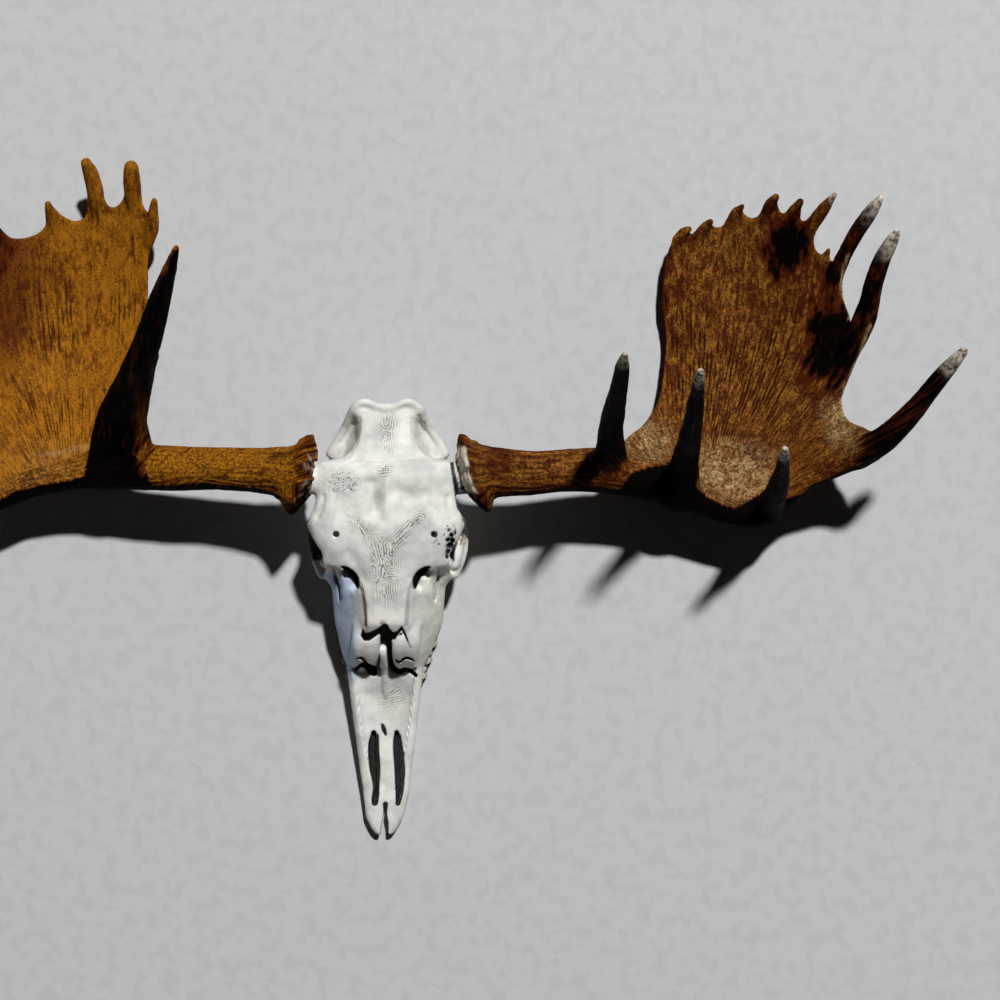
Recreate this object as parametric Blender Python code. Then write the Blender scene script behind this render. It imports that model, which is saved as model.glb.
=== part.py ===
"""Moose skull with both antlers, lying face up on its cheek teeth and the backs of its palms.

Lengths in the tables are millimetres. +X is the viewer's right, +Y runs from the snout to the
back of the head, +Z is up, and the origin is on the floor under the middle of the whole object.
Left and right are the viewer's, looking down on the face.
"""

import math

import bmesh
import bpy
import numpy as np
from mathutils import Matrix, Vector
from mathutils.geometry import delaunay_2d_cdt

MM = 0.001
SIDES = {"left": -1, "right": 1}

# Driving dimensions of the skull
SNOUT_Y = -449.0  # front of the premaxillae
NASAL_TIP_Y = -167.0  # front edge of the nasal bones
CREST_Y = 127.0  # nuchal crest at the back of the head
ORBIT_HALF_WIDTH = 104.0  # cheek arch, from the midline
PEDICLE_Y = 33.0
PEDICLE_Z = 146.0
PEDICLE_RADIUS = 26.0
PEDICLE_END_X = 97.0
PEDICLE_END_BOX = (100, 90, 76)  # what is cut off beyond it
PEDICLE_END_BOX_Z = 155

# Driving dimensions of the antlers
BURR_RADIUS = 45.0
PALM_THICKNESS = 15.0
PALM_EDGE_THICKNESS = 8.0
WORN_DEPTH = 1.5  # how far the back of a palm is worn flat where it rests

# Mesh sizes
SKULL_VOXEL = 3.2
ANTLER_VOXEL = 4.0
SKULL_TRIANGLES = 3500
ANTLER_TRIANGLES = 1500
NODE_GAP = 0.4  # kept between nodes that meet

# Half outlines of the skull, (x, z) from the top of the midline round to the bottom of it
SKULL_SECTIONS = {
    119: [(0, 146), (22, 147), (38, 142), (46, 128), (48, 105), (42, 80), (28, 62), (0, 58)],
    98: [(0, 150), (20, 150), (33, 147), (40, 128), (48, 105), (46, 80), (30, 58), (0, 52)],
    75: [(0, 153), (22, 153), (38, 150), (42, 125), (49, 100), (46, 75), (28, 54), (0, 48)],
    57: [(0, 158), (25, 158), (46, 155), (47, 130), (50, 105), (46, 75), (28, 52), (0, 46)],
    49: [(0, 175), (40, 175), (70, 170), (84, 156), (72, 136), (48, 105), (30, 52), (0, 45)],
    30: [(0, 178), (40, 177), (72, 171), (85, 155), (76, 136), (46, 104), (28, 52), (0, 45)],
    5: [(0, 169), (40, 168), (74, 166), (87, 152), (76, 134), (44, 104), (27, 52), (0, 46)],
    -12: [(0, 170), (40, 170), (74, 164), (87, 150), (76, 134), (43, 104), (27, 51), (0, 46)],
    -32: [(0, 173), (40, 171), (78, 163), (95, 147), (80, 132), (42, 105), (26, 50), (0, 46)],
    -50: [(0, 169), (38, 167), (72, 160), (91, 144), (72, 130), (42, 105), (26, 48), (0, 44)],
    -72: [(0, 163), (34, 161), (62, 153), (78, 138), (68, 115), (50, 80), (36, 42), (0, 38)],
    -95: [(0, 158), (26, 156), (48, 142), (68, 120), (78, 92), (71, 50), (60, 26), (0, 32)],
    -130: [(0, 151), (24, 149), (34, 139), (56, 113), (69, 84), (68, 48), (60, 24), (0, 32)],
    -166: [(0, 142), (22, 140), (32, 126), (54, 98), (68, 72), (66, 44), (58, 24), (0, 32)],
    -195: [(0, 98), (24, 98), (36, 94), (50, 80), (61, 60), (60, 40), (54, 24), (0, 30)],
    -225: [(0, 76), (24, 76), (40, 72), (50, 60), (54, 46), (53, 36), (48, 22), (0, 28)],
    -250: [(0, 62), (24, 62), (40, 59), (47, 50), (48.5, 42), (46, 32), (38, 20), (0, 25)],
    -300: [(0, 48), (22, 48), (34, 47), (41, 41), (43, 34), (39, 26), (31, 17), (0, 20)],
    -350: [(0, 38), (20, 38), (29, 37), (35, 32), (36.5, 26), (33, 20), (26, 14), (0, 16)],
    -400: [(0, 30), (16, 30), (24, 29), (29, 25), (30.5, 20), (27, 15), (20, 10), (0, 12)],
    -430: [(0, 26), (12, 26), (18, 25), (23, 22), (24, 18), (21, 13), (15, 9), (0, 11)],
    SNOUT_Y: [(0, 22), (5, 22), (8, 21), (11, 19), (12, 17), (10, 14), (7, 12), (0, 12)],
}

# Half outlines of the hollow nose; in front of the nasal bones it is open above
NOSE_SECTIONS = {
    -88: [(0, 132), (10, 130), (20, 118), (30, 98), (34, 76), (32, 54), (24, 44), (0, 42)],
    -130: [(0, 140), (16, 138), (24, 126), (42, 100), (50, 76), (48, 50), (38, 40), (0, 38)],
    -163: [(0, 133), (17, 131), (26, 118), (46, 90), (55, 68), (54, 48), (44, 36), (0, 35)],
    -173: [(0, 180), (27, 180), (30, 118), (45, 88), (53, 66), (52, 48), (42, 36), (0, 35)],
    -200: [(0, 180), (35, 180), (36, 98), (41, 78), (46, 60), (46, 46), (38, 35), (0, 34)],
    -230: [(0, 180), (39, 180), (39, 80), (41, 62), (43, 50), (41, 41), (34, 33), (0, 32)],
    -260: [(0, 180), (39, 180), (38, 70), (38, 52), (37, 44), (34, 36), (26, 31), (0, 29)],
    -300: [(0, 180), (33, 180), (33, 60), (32, 44), (30, 38), (26, 31), (18, 27), (0, 26)],
    -345: [(0, 180), (24, 180), (24, 50), (22, 38), (19, 33), (14, 29), (8, 27), (0, 27)],
    -392: [(0, 180), (9, 180), (9, 50), (8, 36), (7, 32), (5, 29), (3, 28), (0, 28)],
}

# Limbs are (x, y, z, radius) along a centre line, given for the right-hand side
CHEEK_ARCH = [
    (52, 66, 96, 12), (68, 54, 92, 11), (75, 32, 86, 8.5), (79, 10, 85, 7.5), (88, -10, 85, 7.5),
    (97, -30, 86, 8), (99, -60, 84, 9), (93, -86, 80, 10), (76, -106, 74, 12),
]
POSTORBITAL_BAR = [(88, -24, 147, 8), (94, -23, 125, 6), (96, -24, 106, 6), (96, -25, 88, 8)]
NUCHAL_CREST = [
    (0, 122, 147, 5), (20, 122, 149, 5.5), (40, 119, 143, 6), (50, 106, 130, 6),
    (57, 86, 114, 6), (67, 66, 101, 7), (73, 55, 94, 8),
]
LACRIMAL_RIDGE = [(76, -74, 132, 7), (78, -86, 118, 7), (76, -98, 104, 7)]
JUGULAR_PROCESS = [(44, 88, 74, 13), (47, 86, 52, 9), (46, 84, 30, 7), (44, 82, 9, 5.5)]
PTERYGOID = [(20, 24, 52, 9), (17, -8, 46, 7), (16, -36, 38, 6), (17, -62, 33, 7)]
SIDE_PALATE = [(17, -62, 33, 7), (30, -82, 34, 12), (42, -94, 34, 14)]
VOMER = [(0, -150, 44, 4), (0, -192, 54, 4.5), (0, -215, 48, 5), (0, -246, 34, 6)]
EAR_TUBE = [(38, 66, 60, 10), (52, 64, 72, 8), (60, 66, 80, 6)]

# Blobs are (x, y, z, radius x, radius y, radius z), given for the right-hand side
BRAINCASE = (0, 58, 104, 47, 62, 46)
CONDYLE = (25, 116, 70, 15, 14, 20)
EAR_BULLA = (34, 60, 46, 12, 16, 13)
TURBINATE = (25, -184, 64, 17, 43, 25)
LOWER_TURBINATE = (27, -215, 46, 14, 13, 13)
VACUITY_BULGE = (51, -113, 92, 12, 22, 25)
ORBIT_HOLLOW = (92, -52, 112, 42, 30, 26)
ANTORBITAL_VACUITY = (50, -108, 122, 13, 24, 36)
CHOANA = (0, -42, 34, 13, 46, 22)
BASIN_UNDER_PALATE = (0, -170, 18, 44, 86, 15)
NASAL_NOTCH = (0, -167, 140, 7, 9, 22)
SIDE_NASAL_NOTCH = (30, -172, 128, 7, 8, 20)

# Through holes are (x, y, z, x, y, z, radius) from one end to the other
BROW_FORAMEN = (62, -45, 190, 66, -42, 100, 4.3)
FORAMEN_MAGNUM = (0, 140, 88, 0, 92, 84, 14)
LACRIMAL_FURROW = (64, -92, 134, 62, -134, 98, 3.2)
FLOOR_HOLE = (-3, -312, 60, -2, -306, 0, 2.6)

# Long slots in the snout, as (x, y, half width) down their middle
PALATINE_FISSURE = [(15, -311, 3), (16.5, -330, 6.5), (17, -360, 6.5), (17, -385, 5), (15.5, -409, 3.5)]
SNOUT_NOTCH = [(0, -411, 3), (0, -424, 2.2), (0, -438, 4.8), (0, -456, 5)]

# Antler limbs, in true positions, (x, y, z, radius)
RIGHT_LIMBS = {
    "beam": [
        (99, 34, 146, 33), (128, 34, 144, 31.5), (170, 36, 138, 30), (215, 37, 130, 30),
        (260, 38, 123, 31), (300, 37, 116, 31), (345, 26, 110, 29), (384, 14, 106, 28),
    ],
    "rim": [
        (384, 14, 106, 28), (415, 2, 101, 23), (450, -12, 100, 20), (480, -15, 104, 20),
        (503, -8, 112, 20), (545, 26, 118, 14), (590, 47, 128, 16), (628, 70, 142, 21),
    ],
    "brow_tine_inner": [
        (292, 42, 122, 26), (291, 73, 177, 18.5), (288, 96, 239, 15.5), (290, 130, 352, 11.5),
        (290, 155, 449, 8), (290, 165, 498, 3.5),
    ],
    "brow_tine_outer": [
        (384, 14, 106, 28), (386, 40, 146, 22), (386, 59, 195, 17.5), (384, 93, 306, 13),
        (380, 118, 397, 10), (377, 138, 470, 6.5), (376, 145, 498, 3),
    ],
    "front_tine": [
        (503, -8, 115, 20), (502, 3, 150, 17), (500, 12, 199, 14.5), (497, 33, 275, 10.5),
        (491, 51, 343, 7),
        (487, 61, 381, 3.5),
    ],
    "lower_tine": [
        (626, 70, 151, 21), (637, 74, 168, 19.5), (649, 80, 188, 18), (669, 112, 231, 13.5),
        (689, 144, 274, 11.5),
        (707, 170, 303, 9.5), (715, 181, 320, 5),
    ],
    "middle_tine": [
        (598, 150, 72, 13), (610, 195, 82, 15), (623, 227, 101, 17), (631, 257, 124, 14),
        (634, 283, 142, 13), (640, 309, 166, 11.5), (648, 329, 187, 9), (653, 339, 200, 4.5),
    ],
    "upper_tine": [
        (594, 268, 78, 12), (597, 303, 88, 12.5), (605, 331, 108, 10.5), (616, 354, 134, 10.5),
        (628, 374, 158, 9.5), (637, 387, 175, 4.5),
    ],
    "point_1": [(388, 346, 40, 11), (397, 358, 48, 7), (404, 363, 57, 3.5)],
    "point_2": [(422, 358, 38, 12), (426, 370, 48, 7), (433, 375, 58, 3.5)],
    "point_3": [(464, 372, 44, 13), (467, 386, 54, 8), (474, 393, 65, 3.5)],
    "point_4": [(508, 376, 54, 14), (510, 393, 66, 9), (516, 404, 82, 4)],
    "point_5": [(533, 368, 60, 14), (543, 385, 70, 8.5), (547, 394, 86, 4)],
    "point_6": [(558, 356, 70, 13), (569, 376, 80, 9), (579, 390, 90, 6), (586, 399, 97, 3.5)],
    "small_point": [(582, 312, 78, 7), (584, 325, 88, 4.5), (584, 332, 93, 2.5)],
}
LEFT_LIMBS = {
    "beam": [
        (-99, 34, 146, 33), (-128, 36, 144, 31), (-170, 38, 138, 30), (-215, 39, 131, 29.5),
        (-260, 40, 125, 30), (-305, 42, 119, 31), (-345, 44, 114, 30), (-372, 43, 110, 28),
    ],
    "rim": [
        (-372, 43, 110, 28), (-420, 34, 104, 23), (-470, 22, 101, 20), (-515, 5, 104, 20),
        (-548, -1, 112, 20), (-588, 36, 122, 15), (-625, 74, 140, 21),
    ],
    "brow_tine": [
        (-372, 56, 116, 20), (-356, 97, 175, 18), (-336, 124, 218, 17), (-312, 150, 261, 18.5),
        (-285, 183, 321, 18), (-264, 216, 378, 15.5), (-245, 246, 433, 12),
        (-230, 270, 472, 7.5), (-220, 285, 498, 3.5),
    ],
    "brow_blade": [
        (-326, 48, 120, 24), (-323, 97, 172, 18), (-313, 124, 215, 17), (-298, 150, 259, 14.5),
        (-283, 177, 307, 11.5),
    ],
    "front_tine": [
        (-547, -1, 114, 20), (-545, 9, 150, 17), (-541, 20, 191, 14.5), (-530, 40, 274, 10.5),
        (-517, 58, 350, 6.5),
        (-512, 66, 382, 3.5),
    ],
    "lower_tine": [
        (-625, 74, 140, 21), (-637, 80, 158, 19.5), (-651, 87, 175, 18), (-673, 113, 221, 13.5),
        (-692, 144, 268, 11.5),
        (-708, 170, 303, 9), (-715, 181, 320, 5),
    ],
    "middle_tine": [
        (-598, 158, 72, 13), (-606, 204, 84, 16), (-621, 239, 113, 15), (-637, 270, 145, 13),
        (-648, 298, 174, 11), (-654, 317, 195, 4.5),
    ],
    "upper_tine": [
        (-560, 282, 60, 12), (-572, 312, 78, 14), (-588, 344, 109, 12), (-603, 371, 137, 10.5),
        (-616, 392, 160, 8), (-621, 400, 170, 4),
    ],
    "point_1": [(-326, 340, 42, 11), (-318, 366, 46, 9), (-314, 388, 52, 6), (-312, 396, 55, 3.5)],
    "point_2": [(-343, 380, 44, 14), (-342, 410, 50, 12), (-341, 436, 56, 10.5), (-341, 446, 59, 8)],
    "point_3": [(-396, 382, 44, 14), (-395, 412, 52, 11.5), (-398, 438, 60, 9), (-400, 449, 64, 6.5)],
    "point_4": [(-454, 362, 46, 13), (-457, 384, 52, 8.5), (-459, 398, 60, 4)],
    "point_5": [(-518, 336, 56, 13), (-526, 358, 66, 9), (-533, 374, 78, 4)],
}

RIGHT_PALM = [
    (296, 60), (318, 84), (336, 98), (352, 118), (363, 142), (369, 180), (372, 212), (370, 240),
    (367, 262), (368, 300), (373, 330), (382, 352), (408, 357), (440, 369), (480, 381),
    (525, 380), (552, 371), (567, 352), (571, 338), (580, 322), (592, 314), (602, 284),
    (608, 262), (614, 235), (612, 190), (604, 150), (603, 122), (610, 103), (628, 93),
    (640, 62), (612, 47), (580, 32), (545, 14), (503, -12), (478, -18), (450, -14), (415, 0),
    (384, 12), (340, 22), (300, 34),
]
LEFT_PALM = [
    (-350, 60), (-350, 130), (-338, 190), (-327, 262), (-326, 300), (-324, 328), (-321, 352),
    (-328, 386), (-371, 398), (-426, 382), (-470, 368), (-500, 355), (-545, 337), (-566, 318),
    (-586, 288), (-594, 262), (-604, 232), (-608, 190), (-606, 155), (-605, 124), (-610, 106),
    (-626, 96), (-636, 66), (-610, 44), (-580, 22), (-548, -6), (-515, 0), (-470, 16),
    (-420, 28), (-372, 36),
]

# Palm bowls: lowest point, then how high each rim rises over how long a run, with its power
RIGHT_BOWL = {
    "low": (450, 230), "outer": (75, 160), "inner": (24, 85), "front": (95, 255), "back": (35, 150),
}
LEFT_BOWL = {
    "low": (435, 240), "outer": (75, 160), "inner": (24, 105), "front": (92, 240), "back": (33, 150),
}
FRONT_POWER = 2.2
RIM_WIDTH = 40  # how far in from its edge a palm reaches its full thickness

# The point of a tine's centre line where it leaves its antler, and how wide its branch is boxed
RIGHT_FORKS = {
    "brow_tine_inner": 1, "brow_tine_outer": 1, "front_tine": 1, "lower_tine": 1,
    "middle_tine": 3, "upper_tine": 2,
}
LEFT_FORKS = {"brow_tine": 2, "front_tine": 1, "lower_tine": 1, "middle_tine": 2, "upper_tine": 2}
BRANCH_BOX_HALF = {"brow_tine": 46}
USUAL_BRANCH_BOX_HALF = 26
BRANCH_BOX_LENGTH = 470
FAR = 3000  # wide enough for a box to pass everything
# Where a beam ends in its palm: a point of the cut, and the cut's turn from straight across
RIGHT_PALM_CUT = (338, 30, 0)
LEFT_PALM_CUT = (-371, 43, 32)

# Cheek teeth, front to back: (name, centre x, centre y, half width across, half length, crown height)
CHEEK_TEETH = [
    ("premolar_2", 47, -233, 8.5, 9.5, 17), ("premolar_3", 51, -212, 10, 10.5, 19),
    ("premolar_4", 55, -190, 11, 10.5, 20), ("molar_1", 58.5, -165, 12, 13, 21),
    ("molar_2", 60.5, -137, 12.5, 13.5, 22), ("molar_3", 60, -108, 12, 14, 21),
]
TOOTH_ROOT_Z = 34
SOCKET_CLEARANCE = 0.4

# Colours, roughness
BONE = ((0.86, 0.84, 0.78), 0.62)
ANTLER = ((0.36, 0.19, 0.07), 0.55)
ENAMEL = ((0.66, 0.58, 0.42), 0.4)


def clear_scene():
    for obj in list(bpy.data.objects):
        bpy.data.objects.remove(obj)


def material(name, colour, roughness):
    made = bpy.data.materials.new(name)
    made.use_nodes = True
    shader = made.node_tree.nodes["Principled BSDF"]
    shader.inputs["Base Color"].default_value = (*colour, 1)
    shader.inputs["Roughness"].default_value = roughness
    shader.inputs["Metallic"].default_value = 0
    return made


def smooth_path(points, steps):
    """Points read from a Catmull-Rom curve through the rows given, with the radii carried along."""
    rows = np.array(points, float)
    padded = np.vstack([2 * rows[0] - rows[1], rows, 2 * rows[-1] - rows[-2]])
    found = []
    for i in range(len(rows) - 1):
        a, b, c, d = padded[i : i + 4]
        for t in np.linspace(0, 1, steps, endpoint=False):
            found.append(
                0.5 * (2 * b + (c - a) * t + (2 * a - 5 * b + 4 * c - d) * t**2
                       + (3 * b - a - 3 * c + d) * t**3)
            )
    found.append(rows[-1])
    return np.array(found)


def add_rings(bm, rings):
    """One closed skin over rings of points with the same count, with a fan over each end."""
    loops = [[bm.verts.new(point) for point in ring] for ring in rings]
    for first, second in zip(loops, loops[1:]):
        for i in range(len(first)):
            j = (i + 1) % len(first)
            bm.faces.new((first[i], first[j], second[j], second[i]))
    for loop, turned in ((loops[0], True), (loops[-1], False)):
        centre = bm.verts.new(sum((v.co for v in loop), Vector()) / len(loop))
        for i in range(len(loop)):
            j = (i + 1) % len(loop)
            bm.faces.new((loop[j], loop[i], centre) if turned else (loop[i], loop[j], centre))


def add_limb(bm, points, side=1, sides=14, steps=3):
    """A tapering round limb with rounded ends."""
    path = smooth_path(points, steps)
    path[:, 0] *= side
    centres = [Vector(p[:3]) for p in path]
    radii = [float(p[3]) for p in path]
    ahead = [(b - a).normalized() for a, b in zip(centres, centres[1:])]
    ahead.append(ahead[-1])
    across = ahead[0].orthogonal().normalized()
    rings = []
    first, last = centres[0], centres[-1]
    for share in (0.95, 0.6):
        rings.append((first - ahead[0] * radii[0] * share, radii[0] * math.sqrt(1 - share**2), ahead[0]))
    rings += list(zip(centres, radii, ahead))
    for share in (0.6, 0.95):
        rings.append((last + ahead[-1] * radii[-1] * share, radii[-1] * math.sqrt(1 - share**2), ahead[-1]))
    loops = []
    for centre, radius, direction in rings:
        across = (across - direction * across.dot(direction)).normalized()
        up = direction.cross(across)
        loops.append([
            centre + (across * math.cos(a) + up * math.sin(a)) * radius
            for a in (2 * math.pi * i / sides for i in range(sides))
        ])
    add_rings(bm, loops)


def add_blob(bm, blob, side=1):
    x, y, z, rx, ry, rz = blob
    place = Matrix.Translation((x * side, y, z)) @ Matrix.Diagonal((rx, ry, rz, 1))
    bmesh.ops.create_uvsphere(bm, u_segments=24, v_segments=14, radius=1, matrix=place)


def add_rod(bm, rod, side=1, sides=16):
    start, end, radius = Vector(rod[:3]), Vector(rod[3:6]), rod[6]
    start.x *= side
    end.x *= side
    turn = (end - start).to_track_quat("Z", "Y").to_matrix().to_4x4()
    bmesh.ops.create_cone(
        bm, cap_ends=True, segments=sides, radius1=radius, radius2=radius,
        depth=(end - start).length, matrix=Matrix.Translation((start + end) / 2) @ turn,
    )


def closed_outline(half, count):
    """A smooth closed ring through a half outline and its mirror image, evenly read by index."""
    left = [(-x, z) for x, z in reversed(half[1:-1])]
    ring = np.array(half + left, float)
    size = len(ring)
    found = []
    for step in np.linspace(0, size, count, endpoint=False):
        i, t = int(step), step - int(step)
        a, b, c, d = (ring[(i + k) % size] for k in (-1, 0, 1, 2))
        found.append(
            0.5 * (2 * b + (c - a) * t + (2 * a - 5 * b + 4 * c - d) * t**2
                   + (3 * b - a - 3 * c + d) * t**3)
        )
    return np.array(found)


def add_loft(bm, sections, count=42):
    """A skin through the half outlines, from the lowest y to the highest."""
    rings = []
    for y in sorted(sections):
        ring = closed_outline(sections[y], count)
        rings.append([Vector((x, y, z)) for x, z in ring])
    add_rings(bm, rings)


def add_slot(bm, points, low, high, side=1):
    """An upright slot: an outline with the half widths given, from one height to another."""
    path = smooth_path([(x * side, y, half) for x, y, half in points], 3)
    edge = [(x + half, y) for x, y, half in path] + [(x - half, y) for x, y, half in path[::-1]]
    rings = [[Vector((x, y, z)) for x, y in edge] for z in (low, high)]
    add_rings(bm, rings)


def bowl_height(bowl, x, y):
    """Height of the middle of a palm's thickness, with x measured outwards."""
    dx, dy = x - bowl["low"][0], y - bowl["low"][1]
    rise, run = bowl["outer"] if dx > 0 else bowl["inner"]
    across = rise * (dx / run) ** 2
    rise, run = bowl["back"] if dy > 0 else bowl["front"]
    along = rise * (abs(dy) / run) ** (2 if dy > 0 else FRONT_POWER)
    return PALM_THICKNESS / 2 - WORN_DEPTH + across + along


def add_palm(bm, outline, bowl, side, spacing=17):
    """A curved plate inside the outline, thinner at its edge."""
    edge = [Vector((x, y)) for x, y in outline]
    xs, ys = [p.x for p in edge], [p.y for p in edge]
    seeds = [
        Vector((x, y))
        for x in np.arange(min(xs) + spacing / 2, max(xs), spacing)
        for y in np.arange(min(ys) + spacing / 2, max(ys), spacing)
        if inside(edge, x, y) and edge_distance(edge, x, y) > spacing * 0.45
    ]
    count = len(edge)
    loop = [(i, (i + 1) % count) for i in range(count)]
    flat, _, faces, *_ = delaunay_2d_cdt(edge + seeds, loop, [], 1, 0.01)
    deep = PALM_THICKNESS / 2
    upper, lower = [], []
    for point in flat:
        away = edge_distance(edge, point.x, point.y)
        share = min(1, away / RIM_WIDTH)
        half = PALM_EDGE_THICKNESS / 2 * (1 - share) + deep * share
        z = bowl_height(bowl, point.x * side, point.y)
        upper.append(bm.verts.new((point.x, point.y, z + half)))
        lower.append(bm.verts.new((point.x, point.y, z - half)))
    used = set()
    for face in faces:
        turned = face if faces_up(flat, face) else face[::-1]
        bm.faces.new([upper[i] for i in turned])
        bm.faces.new([lower[i] for i in reversed(turned)])
        used |= set(zip(turned, turned[1:] + turned[:1]))
    for i, j in used:
        if (j, i) not in used:
            bm.faces.new((upper[j], upper[i], lower[i], lower[j]))


def faces_up(flat, face):
    a, b, c = (flat[i] for i in face[:3])
    return (b - a).cross(c - a) > 0


def inside(edge, x, y):
    found = False
    for a, b in zip(edge, edge[1:] + edge[:1]):
        if (a.y > y) != (b.y > y) and x < (b.x - a.x) * (y - a.y) / (b.y - a.y) + a.x:
            found = not found
    return found


def edge_distance(edge, x, y):
    point = Vector((x, y))
    best = 1e9
    for a, b in zip(edge, edge[1:] + edge[:1]):
        run = b - a
        share = max(0, min(1, (point - a).dot(run) / run.length_squared))
        best = min(best, (point - a - run * share).length)
    return best


def add_burr(bm, side, beads=11):
    """The knobbly ring at the foot of an antler: a collar and a ring of beads round it."""
    start_x = PEDICLE_END_X + NODE_GAP
    add_rod(bm, (start_x, PEDICLE_Y, PEDICLE_Z, start_x + 13, PEDICLE_Y, PEDICLE_Z, BURR_RADIUS - 6),
            side, sides=24)
    for i in range(beads):
        angle = 2 * math.pi * i / beads
        add_blob(bm, (
            start_x + 11 + 2 * math.cos(5 * angle),
            PEDICLE_Y + (BURR_RADIUS - 6) * math.sin(angle),
            PEDICLE_Z + (BURR_RADIUS - 6) * math.cos(angle), 9, 11, 11,
        ), side)


def new_object(name, bm, hidden=False):
    """An object from millimetre geometry, in metres."""
    bmesh.ops.recalc_face_normals(bm, faces=bm.faces)
    bmesh.ops.scale(bm, vec=(MM, MM, MM), verts=bm.verts)
    mesh = bpy.data.meshes.new(name)
    bm.to_mesh(mesh)
    bm.free()
    obj = bpy.data.objects.new(name, mesh)
    bpy.context.scene.collection.objects.link(obj)
    if hidden:
        hide(obj)
    return obj


def hide(obj):
    obj.hide_render = True
    obj.display_type = "WIRE"


def apply_modifiers(obj):
    bpy.context.view_layer.update()
    graph = bpy.context.evaluated_depsgraph_get()
    mesh = bpy.data.meshes.new_from_object(obj.evaluated_get(graph))
    obj.modifiers.clear()
    obj.data = mesh


def fuse(obj, voxel):
    """Makes one skin round everything in the object."""
    remesh = obj.modifiers.new("Fuse", "REMESH")
    remesh.mode = "VOXEL"
    remesh.voxel_size = voxel * MM
    apply_modifiers(obj)


def cut(obj, cutter, operation="DIFFERENCE"):
    boolean = obj.modifiers.new(operation.title(), "BOOLEAN")
    boolean.operation = operation
    boolean.object = cutter
    boolean.solver = "EXACT"
    apply_modifiers(obj)


def relax(obj, factor, repeats):
    smooth = obj.modifiers.new("Relax", "SMOOTH")
    smooth.factor = factor
    smooth.iterations = repeats
    apply_modifiers(obj)


def thin_out(obj, triangles):
    obj.data.calc_loop_triangles()
    decimate = obj.modifiers.new("Thin out", "DECIMATE")
    decimate.ratio = triangles / len(obj.data.loop_triangles)
    decimate.use_collapse_triangulate = True
    apply_modifiers(obj)


def join_into(obj, other):
    """Adds another object's mesh to this one, and removes the other."""
    bm = bmesh.new()
    bm.from_mesh(obj.data)
    bm.from_mesh(other.data)
    bm.to_mesh(obj.data)
    bm.free()
    bpy.data.objects.remove(other)


def finish(obj, paint):
    obj.data.materials.clear()
    obj.data.materials.append(paint)
    obj.data.shade_smooth()
    obj.data.set_sharp_from_angle(angle=math.radians(35))


def outer_skull():
    bm = bmesh.new()
    add_loft(bm, SKULL_SECTIONS)
    add_blob(bm, BRAINCASE)
    for side in SIDES.values():
        pedicle = (60, PEDICLE_Y, PEDICLE_Z + 4, PEDICLE_END_X, PEDICLE_Y, PEDICLE_Z, PEDICLE_RADIUS)
        add_rod(bm, pedicle, side, sides=24)
    obj = new_object("cranium", bm)
    fuse(obj, SKULL_VOXEL)
    return obj


def large_hollows():
    bm = bmesh.new()
    add_loft(bm, NOSE_SECTIONS)
    add_blob(bm, NASAL_NOTCH)
    for side in SIDES.values():
        add_blob(bm, ORBIT_HOLLOW, side)
        add_blob(bm, ANTORBITAL_VACUITY, side)
        add_blob(bm, SIDE_NASAL_NOTCH, side)
    add_blob(bm, BASIN_UNDER_PALATE)
    obj = new_object("large_hollows", bm, hidden=True)
    fuse(obj, SKULL_VOXEL)
    return obj


def added_bones():
    bm = bmesh.new()
    for side in SIDES.values():
        for limb in (
            CHEEK_ARCH, POSTORBITAL_BAR, NUCHAL_CREST, LACRIMAL_RIDGE, JUGULAR_PROCESS,
            PTERYGOID, SIDE_PALATE, EAR_TUBE,
        ):
            add_limb(bm, limb, side)
        for blob in (CONDYLE, EAR_BULLA, TURBINATE, LOWER_TURBINATE, VACUITY_BULGE):
            add_blob(bm, blob, side)
    add_limb(bm, VOMER)
    return new_object("added_bones", bm)


def small_hollows():
    bm = bmesh.new()
    for side in SIDES.values():
        add_rod(bm, BROW_FORAMEN, side)
        add_rod(bm, LACRIMAL_FURROW, side, sides=10)
        add_slot(bm, PALATINE_FISSURE, -10, 70, side)
    add_slot(bm, SNOUT_NOTCH, -10, 70)
    add_rod(bm, FORAMEN_MAGNUM)
    add_rod(bm, FLOOR_HOLE, sides=8)
    add_blob(bm, CHOANA)
    return new_object("small_hollows", bm, hidden=True)


def tooth_rings(tooth, side, grow=0):
    """Upright rings of a cheek tooth: a waisted crown with two lobes, and a block of root."""
    _, x, y, half_width, half_length, crown = tooth
    rings = []
    for z, share in ((0 - grow, 0.86), (crown * 0.55, 1), (crown, 0.9), (TOOTH_ROOT_Z + grow, 0.72)):
        ring = []
        for i in range(12):
            angle = 2 * math.pi * i / 12
            lobe = 1 + 0.06 * math.cos(4 * angle)
            ring.append(Vector((
                side * x + (half_width * share * lobe + grow) * math.cos(angle),
                y + (half_length * share * lobe + grow) * math.sin(angle),
                z,
            )))
        rings.append(ring)
    return rings


def make_teeth(paint):
    for name, side in SIDES.items():
        for tooth in CHEEK_TEETH:
            bm = bmesh.new()
            add_rings(bm, tooth_rings(tooth, side))
            finish(new_object(f"{name}_{tooth[0]}", bm), paint)


def tooth_sockets():
    bm = bmesh.new()
    for side in SIDES.values():
        for tooth in CHEEK_TEETH:
            add_rings(bm, tooth_rings(tooth, side, grow=SOCKET_CLEARANCE))
    return new_object("tooth_sockets", bm, hidden=True)


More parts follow.
